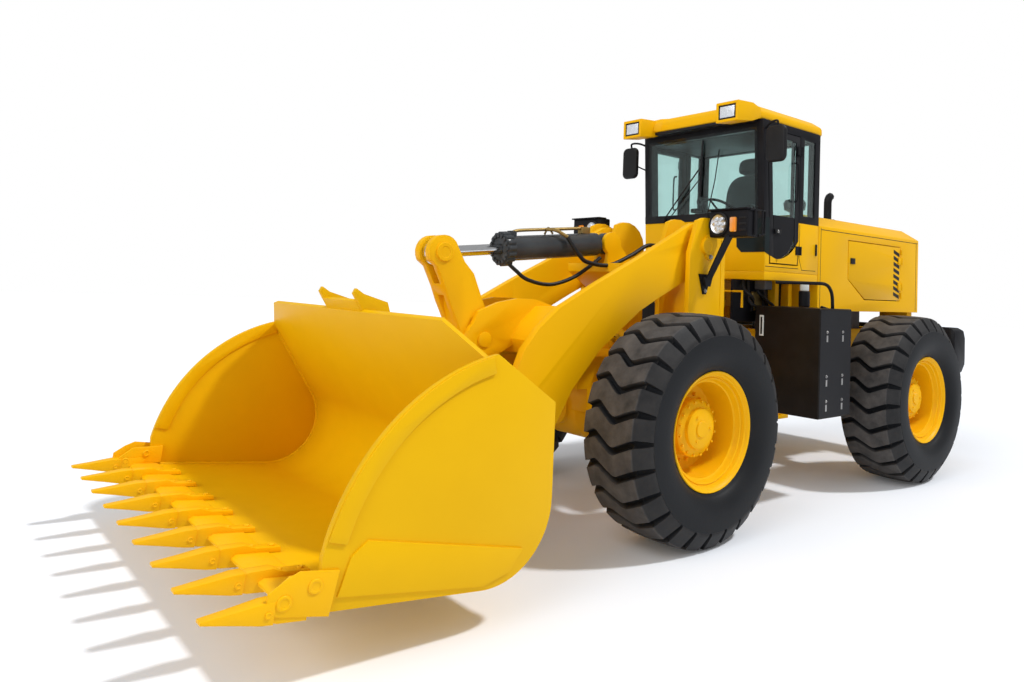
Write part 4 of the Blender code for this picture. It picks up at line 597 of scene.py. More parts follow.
def make_lights():
    world = bpy.data.worlds.new("studio")
    bpy.context.scene.world = world
    world.use_nodes = True
    net = Net(world.node_tree)
    net.tree.nodes.clear()
    rays = net.node("ShaderNodeLightPath")
    seen = net.math("MAXIMUM", rays.outputs["Is Camera Ray"], rays.outputs["Is Transmission Ray"])
    soft = net.node("ShaderNodeBackground", Color=(1, 1, 1, 1), Strength=SOFT_LIGHT)
    white = net.node("ShaderNodeBackground", Color=(1, 1, 1, 1), Strength=1.0)
    both = net.node("ShaderNodeMixShader", i0=seen, i1=soft.outputs[0], i2=white.outputs[0])
    output = net.node("ShaderNodeOutputWorld")
    net.tree.links.new(both.outputs[0], output.inputs[0])
    for name, strength, spread, toward in SUNS:
        data = bpy.data.lights.new(name, "SUN")
        data.energy = strength
        data.angle = math.radians(spread)
        lamp = add_object(name, data)
        lamp.rotation_euler = Vector(toward).to_track_quat("Z", "Y").to_euler()


def make_floor():
    bm = bmesh.new()
    bmesh.ops.create_circle(bm, cap_ends=True, segments=96, radius=FLOOR_RADIUS)
    mesh = bpy.data.meshes.new("floor")
    bm.to_mesh(mesh)
    bm.free()
    floor = add_object("floor", mesh)
    material = bpy.data.materials.new("pale_floor")
    material.use_nodes = True
    net = Net(material.node_tree)
    net.tree.nodes.clear()
    rays = net.node("ShaderNodeLightPath")
    diffuse = net.node("ShaderNodeBsdfDiffuse", Color=(0.84, 0.87, 0.92, 1))
    glow = net.node("ShaderNodeEmission", Color=(1, 1, 1, 1))
    net.feed(glow, "Strength", net.math("MULTIPLY", rays.outputs["Is Camera Ray"], FLOOR_GLOW))
    both = net.node("ShaderNodeAddShader", i0=diffuse.outputs[0], i1=glow.outputs[0])
    output = net.node("ShaderNodeOutputMaterial")
    net.tree.links.new(both.outputs[0], output.inputs[0])
    mesh.materials.append(material)


# Wheels

LUG_COUNT = 26
GROOVE_SHARE = 0.28
GROOVE_DEPTH = 0.045
TREAD_HALF = 0.216
TREAD_EDGE_RADIUS = 0.79
# Rings across the rolling face and how late it bends down to its edge
FACE_RINGS, CROWN_POWER = 21, 2.2
SHOULDER_SHARES = (0.08, 0.25, 0.45, 0.65, 0.85, 1.0, 1.12)
SHOULDER_DEPTH = 0.056
# How much of a groove's depth runs toward the axle on the shoulder; the rest runs inward
SHOULDER_SINK = 0.62
SHOULDER_FOOT = (0.676, 0.291)
# Where a groove lies, in pitches turned upward at the wheel's front, by share of the tread's half width.
WAVE = ((-1.0, -0.5, 0.22, 1.0), (0.0, 0.24, -0.30, 0.08))
WALL = (
    # radius and height of the sidewall, from the foot of the lugs to the bead and inside
    (0.660, 0.295), (0.630, 0.2985), (0.590, 0.300), (0.550, 0.299), (0.515, 0.293), (0.480, 0.281),
    (0.455, 0.267), (0.438, 0.253), (0.429, 0.243), (0.423, 0.2405), (0.417, 0.234), (0.4155, 0.215), (0.46, 0.17),
)


def tread_columns():
    """Phases over one pitch with the depth there, 0 on the lug and 1 in the groove."""
    groove = [(0.0, 0.0), (0.035, 0.85), (0.07, 1.0), (0.14, 1.0), (0.21, 1.0), (0.245, 0.85), (0.28, 0.0)]
    return groove + [(0.30, 0.0), (0.45, 0.0), (0.64, 0.0), (0.83, 0.0), (0.98, 0.0)]


def tread_stations():
    """Rings across the tyre: radius, height, groove depth, phase shift, groove narrowing, face kind."""
    rings = []
    for share in np.linspace(-1, 1, FACE_RINGS):
        radius = TYRE_RADIUS - (TYRE_RADIUS - TREAD_EDGE_RADIUS) * abs(share) ** CROWN_POWER
        shift = float(np.mean([np.interp(share + d, *WAVE) for d in (-0.08, 0, 0.08)]))
        rings.append((radius, share * TREAD_HALF, GROOVE_DEPTH, shift, 1.0, 1.0))
    for share in SHOULDER_SHARES:
        radius = TREAD_EDGE_RADIUS + (SHOULDER_FOOT[0] - TREAD_EDGE_RADIUS) * share
        height = TREAD_HALF + (SHOULDER_FOOT[1] - TREAD_HALF) * min(share, 1.0) ** 0.9
        depth = SHOULDER_DEPTH * max(0.0, 1.0 - share / SHOULDER_SHARES[-1]) ** 0.42
        narrow = max(0.55, 1.0 - 0.35 * share ** 2)
        rings.append((radius, height, depth, WAVE[1][3], narrow, 0.25))
        rings.insert(0, (radius, -height, depth, WAVE[1][0], narrow, 0.25))
    for radius, height in WALL:
        rings.append((radius, height, 0.0, WAVE[1][3], 0.35, 0.0))
        rings.insert(0, (radius, -height, 0.0, WAVE[1][0], 0.35, 0.0))
    return rings


def make_tyre(name, body, place, facing):
    columns, rings = tread_columns(), tread_stations()
    pitch = 2 * math.pi / LUG_COUNT
    count = len(columns) * LUG_COUNT
    points, tread, groove = [], [], []
    middle = GROOVE_SHARE / 2
    for radius, height, depth, shift, narrow, rolling in rings:
        sink = 1.0 if abs(height) <= TREAD_HALF else SHOULDER_SINK
        for lug in range(LUG_COUNT):
            for phase, low in columns:
                if phase <= GROOVE_SHARE:
                    phase = middle + (phase - middle) * narrow
                angle = (lug + phase - facing * shift) * pitch
                away = radius - low * depth * sink
                level = height - math.copysign(low * depth * (1.0 - sink), height)
                points.append((away * math.cos(angle), away * math.sin(angle), level))
                tread.append(rolling if low == 0 else 0.0)
                groove.append(low * min(1.0, depth / 0.03))
    faces = []
    for ring in range(len(rings)):
        low, high = ring * count, (ring + 1) % len(rings) * count
        faces += [(low + i, low + (i + 1) % count, high + (i + 1) % count, high + i) for i in range(count)]
    mesh = bpy.data.meshes.new("tread_" + name)
    mesh.from_pydata(points, [], faces)
    for label, values in (("tread", tread), ("groove", groove)):
        mesh.attributes.new(label, "FLOAT", "POINT").data.foreach_set("value", values)
    mesh.transform(place)
    finish_piece(add_object("tread_" + name, mesh), body, "rubber", ("tyre_" + name,), 38)


RIM_PROFILE = [
    # radius and height, from the hub's cap over disc, well and flange to the back
    (0, 0.138), (0.052, 0.138), (0.056, 0.134), (0.058, 0.128), (0.128, 0.128), (0.140, 0.122),
    (0.146, 0.100), (0.178, 0.092), (0.194, 0.084), (0.200, 0.076), (0.200, 0.052), (0.192, 0.046),
    (0.190, -0.030), (0.204, -0.044), (0.280, -0.046), (0.306, -0.036), (0.318, -0.010), (0.324, 0.060),
    (0.328, 0.130), (0.330, 0.150), (0.340, 0.156), (0.346, 0.170), (0.352, 0.190), (0.360, 0.194),
    (0.367, 0.188), (0.371, 0.190), (0.377, 0.212), (0.386, 0.216), (0.393, 0.228),
    (0.401, 0.237), (0.408, 0.240), (0.413, 0.236), (0.412, 0.226), (0.392, 0.214), (0.371, 0.18),
    (0.371, -0.18), (0.392, -0.214), (0.410, -0.225), (0.400, -0.236), (0.380, -0.222), (0.352, -0.19),
    (0.340, -0.12), (0.318, -0.0895), (0.0, -0.0895),
]
# Rings of nuts: count, circle's radius, size, height, level
RIM_NUTS = (
    (16, 0.186, 0.010, 0.014, 0.087), (20, 0.242, 0.014, 0.026, -0.046), (3, 0.094, 0.010, 0.008, 0.127),
)


def make_rim(name, body, place):
    """A deep rim: lock ring, well, disc, planetary hub and its bolts."""
    lathe("wheel_" + name + "_rim", RIM_PROFILE, body, "yellow", place, 96, ("rim_" + name,), 30)
    bm = bmesh.new()
    for count, radius, size, height, level in RIM_NUTS:
        for index in range(count):
            t = 2 * math.pi * (index + 0.5) / count
            spot = Matrix.Translation((radius * math.cos(t), radius * math.sin(t), level + height / 2))
            add_cone(bm, spot, 6, size, size * 0.92, height)
    new_piece("wheel_" + name + "_nuts", bm, body, "yellow", place, angle=25)


def make_wheels():
    for name, (x, side) in WHEELS.items():
        body = "wheel_" + name
        turn = Matrix(((1, 0, 0), (0, 0, side), (0, -side, 0))).to_4x4()
        place = Matrix.Translation(at(x, side * WHEEL_Y, AXLE_Z)) @ turn
        make_tyre(name, body, place, side)
        make_rim(name, body, place)


# Bodies and finishes that many pieces share
REAR, FRONT = "rear_frame", "front_frame"
PLASTIC, BLACK = "black_plastic", "black_paint"


# Bucket

BUCKET_OUTER_Y = 1.52
BUCKET_PLATE = 0.035
BUCKET_INNER_Y = BUCKET_OUTER_Y - BUCKET_PLATE
SHELL = 0.03
SHELL_CENTRE = (3.58, 0.625)
SHELL_RADIUS = 0.365
FLOOR_SLOPE = math.radians(6.5)
BACK_SLOPE = math.radians(58.8)
FLOOR_END_X = 4.40
GUARD_FOOT_Z, GUARD_TOP_Z = 1.345, 1.555
# Inward share of the line along which the guard's ends are cut
GUARD_LEAN = 0.31
# How far the edge strips and wear plates stand proud of the side plates, and how deep they start in them
PROUD, SUNK = 0.012, 0.01
SIDE_CENTRE = (3.36, 0.30)
SIDE_RADIUS = 1.115
STRIP_WIDTH = 0.084
WEAR_PLATE = [(4.375, 0.385), (4.32, 0.543), (4.244, 0.60), (3.38, 0.40), (3.46, 0.30), (3.62, 0.262)]
EAR_THICKNESS = 0.035
EYE = (3.10, 0.45)
TOOTH_COUNT = 9
TOOTH_REACH = 1.49
TOOTH_HALF = 0.036
LIP_X = 4.403
BOLT_EDGE = 0.002
# Sections of a tooth's point: x, low and high above the floor's line, half width
TIP = ((4.640, -0.040, 0.050, 0.043), (4.69, -0.038, 0.046, 0.042),
       (4.80, -0.024, 0.022, 0.035), (4.918, -0.012, 0.000, 0.026))


def on_floor(x, offset=0.0):
    """A point on the floor's middle line, moved up square to it."""
    foot_x = SHELL_CENTRE[0] + SHELL_RADIUS * math.sin(FLOOR_SLOPE)
    foot_z = SHELL_CENTRE[1] - SHELL_RADIUS * math.cos(FLOOR_SLOPE)
    return (x - offset * math.sin(FLOOR_SLOPE),
            foot_z + (x - foot_x) * math.tan(FLOOR_SLOPE) + offset * math.cos(FLOOR_SLOPE))


def on_back(z, offset=0.0):
    """A point on the back's middle line at a height, moved inward."""
    start_x = SHELL_CENTRE[0] - SHELL_RADIUS * math.sin(BACK_SLOPE)
    start_z = SHELL_CENTRE[1] + SHELL_RADIUS * math.cos(BACK_SLOPE)
    return (start_x + (z - start_z) / math.tan(BACK_SLOPE) + offset * math.sin(BACK_SLOPE),
            z - offset * math.cos(BACK_SLOPE))


def shell_arc(offset=0.0, count=28):
    return arc(SHELL_CENTRE, SHELL_RADIUS + offset, 276.5, 148.8, count)


def add_shell(bm):
    """The bowl, with its upper corners cut back toward the guard."""
    line = [on_floor(FLOOR_END_X)] + shell_arc() + [on_back(GUARD_TOP_Z)]
    upper, lower = [], []
    for i, (x, z) in enumerate(line):
        ahead = (Vector(line[min(i + 1, len(line) - 1)]) - Vector(line[max(i - 1, 0)])).normalized()
        aside = Vector((-ahead.y, ahead.x)) * SHELL / 2
        upper.append((x + aside.x, z + aside.y))
        lower.append((x - aside.x, z - aside.y))
    half = BUCKET_OUTER_Y - BUCKET_PLATE / 2
    add_prism(bm, upper + lower[::-1], -half, half)
    for side in (1, -1):
        bm.verts.index_update()
        cut_off(bm, at(0, side * (BUCKET_OUTER_Y - SUNK), GUARD_FOOT_Z),
                (0, side * (GUARD_TOP_Z - GUARD_FOOT_Z), GUARD_LEAN))


def side_outline():
    front = arc(SIDE_CENTRE, SIDE_RADIUS, 13, 79, 28)
    low = [point for point in shell_arc(SHELL * 0.8) if point[1] < SHELL_CENTRE[1]]
    return front + [(3.19, 1.13), (3.19, SHELL_CENTRE[1])] + low[::-1] + [on_floor(4.44, -SHELL * 0.8)]


def strip_outline():
    outer = SIDE_RADIUS - 0.004
    return arc(SIDE_CENTRE, outer, 17, 77, 28) + arc(SIDE_CENTRE, outer - STRIP_WIDTH, 77, 17, 28)


def make_bucket():
    ear = arc(EYE, 0.12, 120, 270, 16) + shell_arc()[10:]
    link_ear = arc((3.03, 0.74), 0.085, 110, 250, 14) + [(3.215, 0.655)] + shell_arc()[-8:] + [on_back(0.91)]
    hook = [on_back(z, inward) for z, inward in (
        (1.30, -0.01), (1.555, 0.0), (1.66, 0.0), (1.675, -0.03), (1.63, -0.055), (1.52, -0.17), (1.42, -0.14))]
    stop = [on_back(z, inward) for z, inward in ((1.50, 0.002), (1.615, 0.002), (1.615, -0.018), (1.50, -0.018))]
    bm = bmesh.new()
    add_shell(bm)
    for side in (1, -1):
        for outline, near, far in (
            (side_outline(), BUCKET_INNER_Y, BUCKET_OUTER_Y),
            (strip_outline(), BUCKET_OUTER_Y - SUNK, BUCKET_OUTER_Y + PROUD),
            (strip_outline(), BUCKET_INNER_Y - SUNK, BUCKET_INNER_Y + SUNK),
            (WEAR_PLATE, BUCKET_OUTER_Y - SUNK, BUCKET_OUTER_Y + PROUD),
            (ear, 0.453, 0.453 + EAR_THICKNESS), (ear, 0.582, 0.582 + EAR_THICKNESS),
            (link_ear, 0.047, 0.047 + EAR_THICKNESS), (hook, 0.235, 0.235 + EAR_THICKNESS),
        ):
            add_layer(bm, outline, side, near, far)
        add_disc(bm, (EYE[0], side * 0.617, EYE[1]), (0, side, 0), 0.075, 0.012)
    add_prism(bm, stop, -0.24, 0.24)
    new_piece("bucket_form", bm, "bucket", "worn_yellow", replaced=("bucket",), angle=28,
              soft=(0.0045, 2, 40))
    seam = [on_floor(x, SHELL / 2) for x in (4.38, 3.9)] + shell_arc(-SHELL / 2, 14) + [on_back(1.30, SHELL / 2)]
    for word, side in SIDES:
        tube("bucket_seam_" + word, [(x, side * (BUCKET_INNER_Y - 0.003), z) for x, z in seam], 0.009,
             "bucket", "worn_yellow", 8, False)


def make_teeth():
    """The cutting edge, nine teeth with their straps and bolts, and the plates at the corners."""
    bm = bmesh.new()
    half = BUCKET_INNER_Y - 0.001
    add_prism(bm, [on_floor(x, up) for x, up in (
        (LIP_X, -0.02), (4.54, -0.02), (4.58, -0.006), (4.58, 0.006), (4.555, 0.02), (LIP_X, 0.02))], -half, half)
    for index in range(TOOTH_COUNT):
        y = -TOOTH_REACH + 2 * TOOTH_REACH * index / (TOOTH_COUNT - 1)
        at_end = index in (0, TOOTH_COUNT - 1)
        strap = () if at_end else ((4.46, 0.041), (4.345, 0.041), (4.34, 0.017))
        add_prism(bm, [on_floor(x, up) for x, up in (
            (4.50, -0.042), (4.62, -0.040), (4.68, -0.028), (4.68, 0.030), (4.62, 0.050), (4.52, 0.058),
            (4.49, 0.048), *strap, (4.50, 0.017))], y - TOOTH_HALF, y + TOOTH_HALF)
        add_tip(bm, y)
        for x in () if at_end else (4.375, 4.475):
            add_disc(bm, (x, y, on_floor(x)[1] + 0.040), (0, 0, 1), 0.015, 0.009, 12, BOLT_EDGE)
        for way in (1, -1):
            pin = (4.665, y + way * 0.038, on_floor(4.665)[1])
            add_disc(bm, pin, (0, way, 0), 0.014, 0.012, 12, BOLT_EDGE)
    plate = [(4.37, 0.500), (4.54, 0.528), (4.60, 0.505), (4.67, 0.462), (4.675, 0.41), (4.635, 0.366),
             (4.41, 0.315)]
    inner_plate = [(4.37, 0.49), (4.56, 0.495), (4.64, 0.44), (4.67, 0.40), (4.635, 0.37), (4.38, 0.375)]
    for side in (1, -1):
        add_layer(bm, plate, side, 1.5205, 1.532)
        add_layer(bm, inner_plate, side, 1.462, 1.4845)
        for x, z in ((4.475, 0.455), (4.605, 0.415)):
            add_disc(bm, (x, side * 1.4625, z - 0.005), (0, -side, 0), 0.022, 0.010, 28)
            add_disc(bm, (x, side * 1.526, z), (0, side, 0), 0.032, 0.0135, 28)
    new_piece("bucket_teeth_form", bm, "bucket", "yellow", replaced=("bucket_teeth",), angle=28,
              soft=(0.003, 2, 40))


def add_tip(bm, y):
    """A forged tooth point: a box that tapers to a chisel edge."""
    sections = []
    for x, low, high, half in TIP:
        (low_x, low_z), (high_x, high_z) = on_floor(x, low), on_floor(x, high)
        sections.append([at(low_x, y - half, low_z), at(low_x, y + half, low_z),
                         at(high_x, y + half, high_z), at(high_x, y - half, high_z)])
    skin(bm, sections)


# Cab

# The roof's outline from above on the left, and its three levels
ROOF_PLAN = [(-0.83, 0.62), (-0.76, 0.70), (0.20, 0.70), (0.38, 0.67), (0.40, 0.46), (0.36, 0.38)]
ROOF_FOOT_Z, ROOF_EDGE_Z, ROOF_TOP_Z = 3.311, 3.385, 3.448
# A lamp housing's sections: x, low z, high z at its inner and outer corner, and inset
POD_NEAR_Y, POD_FAR_Y = 0.455, 0.695
POD = (
    (0.24, 3.318, 3.43, 3.40, 0.0), (0.36, 3.27, 3.432, 3.432, 0.0), (0.572, 3.24, 3.418, 3.418, 0.0),
    (0.578, 3.246, 3.412, 3.412, 0.006), (0.578, 3.264, 3.394, 3.394, 0.026), (0.555, 3.268, 3.390, 3.390, 0.030),
)
# The top panel against the outline: shares of its length and width, and a shift back
ROOF_TOP_LENGTH, ROOF_TOP_WIDTH, ROOF_TOP_BACK = 0.90, 0.88, 0.012
# Where the cab frame's paint changes from yellow to black
SILL_Z = 2.43
# The windshield's foot in XZ and its lean
SHIELD_X, SHIELD_Z, SHIELD_LEAN = 0.17, 2.11, 0.07 / 1.20
GLASS = 0.006
GLASS_LOW_Z, GLASS_HIGH_Z, GLASS_HALF_Y = 2.495, 3.245, 0.655


def pane(name, corners, thickness, body, finish):
    """A flat plate through corners given forward from the articulation, thickened behind them."""
    corners = [at(*corner) for corner in corners]
    normal = (corners[1] - corners[0]).cross(corners[-1] - corners[0]).normalized()
    bm = bmesh.new()
    skin(bm, [corners, [corner - normal * thickness for corner in corners]])
    return new_piece(name, bm, body, finish)


def windshield_x(z):
    return SHIELD_X + (z - SHIELD_Z) * SHIELD_LEAN


def on_glass(y, z, off=0.004):
    """A point on the windshield or off it."""
    return (windshield_x(z) + off, y, z)


def make_cab_frame():
    """The cab frame's own form, yellow below the windows and black above."""
    for word, finish, way in (("low", "yellow", 1), ("high", BLACK, -1)):
        bm = node_form("cab_frame")
        cut_off(bm, (0, 0, SILL_Z), (0, 0, way))
        new_piece("cab_frame_" + word, bm, REAR, finish, replaced=("cab_frame",), soft=(0.004, 2, 30))


def make_roof():
    """The roof panel, set back between the lamp housings at its front corners."""
    plan = ROOF_PLAN + [(x, -y) for x, y in ROOF_PLAN[::-1]]
    bm = bmesh.new()
    skin(bm, [[at(x, y, ROOF_FOOT_Z) for x, y in plan], [at(x, y, ROOF_EDGE_Z) for x, y in plan],
              [at(x * ROOF_TOP_LENGTH - ROOF_TOP_BACK, y * ROOF_TOP_WIDTH, ROOF_TOP_Z) for x, y in plan]])
    new_piece("roof_panel", bm, REAR, "yellow", replaced=("cab_roof",), angle=40, soft=(0.018, 3, 12))
    for word, side in SIDES:
        rings = []
        for x, low, inner_high, outer_high, inset in POD:
            near, far = side * (POD_NEAR_Y + inset), side * (POD_FAR_Y - inset)
            rings.append([at(x, near, low), at(x, far, low), at(x, far, outer_high), at(x, near, inner_high)])
        bm = bmesh.new()
        skin(bm, rings)
        new_piece("roof_pod_" + word, bm, REAR, "yellow", replaced=("cab_roof",), angle=40,
                  soft=(0.012, 3, 30))


def make_glass():
    body = REAR
    half, low, high = GLASS_HALF_Y, GLASS_LOW_Z, GLASS_HIGH_Z
    pane("windshield", [on_glass(y, z) for y, z in rect(-half, low, half, high)], GLASS, body, "glass")
    pane("windshield_band", [on_glass(y, z, 0.006) for y, z in rect(-0.715, SILL_Z, 0.715, 2.50)], 0.0045,
         body, PLASTIC)
    rear = rect(half - 0.02, low, 0.02 - half, high - 0.02)
    pane("rear_glass", [(-0.698, y, z) for y, z in rear], GLASS, body, "glass")
    quarter = rect(-0.62, low, -0.43, 3.225)
    door = [(-0.29, 2.10), (0.030, 2.10), (0.092, 3.18), (-0.29, 3.18)]
    for word, side in SIDES:
        for name, outline, own_body in (("quarter", quarter, body), ("door", door, "cab_door_" + word)):
            corners = [(x, side * 0.712, z) for x, z in outline]
            pane(name + "_glass_" + word, corners[::-side], GLASS, own_body, "glass")


# Cab interior

# The seat's pads: name, low and high corner, crown, tilt in degrees, pinch of the sides
CUSHIONS = (
    ("seat_cushion", (-0.52, -0.25, 2.335), (-0.04, 0.25, 2.455), 0.02, 0, 0.02),
    ("seat_back", (-0.585, -0.24, 2.44), (-0.475, 0.24, 2.965), 0.02, -8, 0.02),
    ("headrest", (-0.655, -0.145, 2.965), (-0.565, 0.145, 3.145), 0.012, -8, 0.012),
)
# The seam's place and width in shares of a pad's half size, and its depth
SEAM_AT, SEAM_WIDTH, SEAM_DEPTH = 0.80, 0.10, 0.006
PAD_CUTS, PAD_FILL = 11, 0.75
# Share of a pad's thickness left at its rim
PAD_RIM = 0.72
COLUMN_FOOT, COLUMN_LEAN, COLUMN_LENGTH = (0.03, 0, 2.36), math.radians(35), 0.225
WHEEL_RING_RADIUS, WHEEL_RING_HALF = 0.188, 0.013


def cushion(name, low, high, body, crown, tilt, pinch):
    """A crowned pad between two corners: sides pull in between the corners and seams run round it."""
    low, high = Vector(low), Vector(high)
    middle, half = (low + high) / 2, (high - low) / 2
    bm = bmesh.new()
    bmesh.ops.create_cube(bm, size=2.0)
    bmesh.ops.subdivide_edges(bm, edges=bm.edges[:], cuts=PAD_CUTS, use_grid_fill=True)
    thin = min(range(3), key=lambda k: half[k])
    wide = [k for k in range(3) if k != thin]
    for v in bm.verts:
        p = v.co.copy()
        edge = max(abs(p[wide[0]]), abs(p[wide[1]]))
        swell = (1 - p[wide[0]] ** 4) * (1 - p[wide[1]] ** 4)
        q = Vector((p.x * half.x, p.y * half.y, p.z * half.z))
        rise = half[thin] * (PAD_RIM + (1 - PAD_RIM) * swell) + crown * swell * (p[thin] > 0)
        q[thin] = math.copysign(1, p[thin]) * abs(p[thin]) * rise
        for k, other in (wide, wide[::-1]):
            q[k] -= math.copysign(pinch, p[k]) * abs(p[k]) ** 3 * (1 - p[other] ** 2) * 0.5
            q[k] *= math.sqrt(1 - 0.42 * abs(p[other]) ** 3)
        seam = max(0.0, 1 - abs(edge - SEAM_AT) / SEAM_WIDTH)
        if abs(p[thin]) > 0.95:
            q[thin] -= math.copysign(SEAM_DEPTH, p[thin]) * seam
        v.co = q
    spot = Matrix.Translation(at(*middle)) @ Matrix.Rotation(math.radians(tilt), 4, "Y")
    thing = new_piece(name, bm, body, "seat_cloth", spot, angle=60)
    smoother = thing.modifiers.new("smooth", "SUBSURF")
    smoother.levels = smoother.render_levels = 1
    bake(thing)
    finish_piece(thing, body, "seat_cloth", angle=70)
    return thing


def make_seat():
    pads = [cushion(name, low, high, REAR, *form) for name, low, high, *form in CUSHIONS]
    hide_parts("seat")


def make_steering():
    body, finish = REAR, PLASTIC
    axis = Vector((-math.sin(COLUMN_LEAN), 0, math.cos(COLUMN_LEAN)))
    foot = at(*COLUMN_FOOT)
    rod("steering_shaft", foot - axis * 0.05, foot + axis * (COLUMN_LENGTH - 0.01), 0.022, body, finish, 20,
        replaced=("steering_column",))
    hub = turn_to(foot + axis * COLUMN_LENGTH, axis)
    lathe("steering_hub", [(0, -0.025), (0.040, -0.025), (0.048, -0.01), (0.042, 0.012), (0, 0.018)], body,
          finish, hub, 32)
    ring = [(WHEEL_RING_RADIUS + x, y) for x, y in circle(WHEEL_RING_HALF, 12)]
    lathe("steering_ring", ring, body, finish, hub)
    for index in range(3):
        t = math.radians(90 + 120 * index)
        ends = [hub @ Vector((radius * math.cos(t), radius * math.sin(t), 0)) for radius in (0.03, 0.186)]
        rod("steering_spoke_%d" % index, *ends, 0.010, body, finish, 10)


# Pieces from tables. A %s in a name or body stands for left and right: that piece is made on both sides,
# and its rows give the left one.

# The outer face of the front frame's tower
FACE_Y = 0.6553
BLOCKS = (
    # name, body, finish, bevel and segments, x, y and z from and to
    ("roof_lamp_bezel_%s", REAR, PLASTIC, (0.006,), (0.550, 0.570), (0.480, 0.670), (3.262, 3.396)),
    ("roof_lamp_%s", REAR, "clear", (0.006,), (0.558, 0.575), (0.494, 0.656), (3.276, 3.382)),
    ("roof_lamp_dish_%s", REAR, "lamp_face", (0.004,), (0.560, 0.5715), (0.498, 0.652), (3.280, 3.378)),
    ("roof_lining_front", REAR, PLASTIC, (0.006,), (0.247, 0.372), (-0.66, 0.66), (3.286, 3.312)),
    ("roof_lining_rear", REAR, PLASTIC, (0.006,), (-0.80, -0.707), (-0.60, 0.60), (3.296, 3.312)),
    ("roof_inner_lining", REAR, PLASTIC, (0.008,), (-0.62, 0.14), (-0.63, 0.63), (3.225, 3.248)),
    ("floor_mat", REAR, PLASTIC, (0.003,), (-0.62, 0.09), (-0.62, 0.62), (2.021, 2.030)),
    ("door_lock_%s", "cab_door_%s", PLASTIC, (0.006,), (-0.06, 0.03), (0.719, 0.735), (2.30, 2.345)),
    ("armrest_%s", REAR, PLASTIC, (0.018, 3), (-0.42, -0.10), (0.295, 0.375), (2.555, 2.60)),
    ("side_console_%s", REAR, "dash_grey", (0.02, 3), (-0.50, -0.16), (0.285, 0.405), (2.03, 2.50)),
    ("seat_pan", REAR, PLASTIC, (0.015, 3), (-0.50, -0.08), (-0.20, 0.20), (2.26, 2.34)),
    ("dash", REAR, "dash_grey", (0.03, 3), (-0.01, 0.10), (-0.30, 0.30), (2.03, 2.42)),
    ("dash_hood", REAR, PLASTIC, (0.03, 3), (-0.06, 0.09), (-0.17, 0.17), (2.42, 2.53)),
    ("dash_screen", REAR, "glass", (0.003,), (-0.066, -0.060), (-0.10, 0.10), (2.45, 2.515)),
    ("headlamp_case_%s", FRONT, BLACK, (0.02, 3), (0.74, 0.878), (0.66, 1.05), (2.205, 2.43)),
    ("headlamp_brow_%s", FRONT, BLACK, (0.004,), (0.80, 0.90), (0.656, 1.054), (2.425, 2.438)),
    ("amber_lamp_%s", FRONT, "amber", (0.02, 3), (0.878, 0.904), (0.885, 0.945), (2.245, 2.365)),
    *(("lamp_louvre_%s_" + str(index), FRONT, PLASTIC, (0.003,), (0.876, 0.884), (0.965, 1.035),
       (z, z + 0.018)) for index, z in enumerate((2.25, 2.30, 2.35))),
    # A black sheet in the gap under the cab, where there is only shade: painted shade.
    ("under_cab_plate_%s", REAR, BLACK, (0.005,), (-0.66, 0.22), (0.40, 0.42), (1.50, 1.884)),
    ("cab_mount_%s", REAR, "cast_iron", (0.015, 3), (-0.20, -0.08), (0.44, 0.56), (1.80, 1.884)),
    ("tank_box_%s", REAR, "battery_black", (0.012, 3), (-0.478, 0.040), (0.545, 1.199), (0.722, 1.653)),
    ("gauge_frame_%s", REAR, "white_plastic", (0.003,), (0.041, 0.047), (0.598, 0.642), (1.385, 1.57)),
    ("gauge_tube_%s", REAR, PLASTIC, (0.002,), (0.046, 0.051), (0.611, 0.629), (1.40, 1.555)),
    ("engine_door_handle_%s", "engine_door_%s", PLASTIC, (0.005,), (-1.42, -1.34), (0.7003, 0.7143),
     (2.10, 2.16)),
    ("flap_latch_%s", REAR, PLASTIC, (0.004,), (-0.665, -0.645), (0.7203, 0.7323), (2.14, 2.25)),
    ("radiator", REAR, "hose", (0.006,), (-2.79, -2.75), (-0.50, 0.50), (1.66, 2.36)),
    ("tow_block", REAR, BLACK, (0.012,), (-3.219, -3.16), (-0.12, 0.12), (1.02, 1.30)),
    ("tail_case_%s", REAR, PLASTIC, (0.008,), (-2.876, -2.858), (0.53, 0.66), (2.20, 2.37)),
    ("tail_red_%s", REAR, "red", (0.008,), (-2.888, -2.872), (0.542, 0.648), (2.29, 2.358)),
    ("tail_amber_%s", REAR, "amber", (0.008,), (-2.888, -2.872), (0.542, 0.648), (2.212, 2.28)),
    ("reflector_%s", REAR, "red", (0.003,), (-3.218, -3.211), (0.98, 1.06), (1.16, 1.20)),
    ("valve_block", REAR, "brass", (0.02, 3), (-0.28, -0.06), (0.20, 0.44), (1.60, 1.78)),
    ("pump_block", REAR, "cast_iron", (0.02, 3), (0.0, 0.12), (-0.30, -0.02), (1.62, 1.82)),
)
# CAD nodes that a block takes the place of
STANDS_FOR = {"headlamp_case_%s": "headlamp_%s", "tank_box_%s": "tank_%s"}

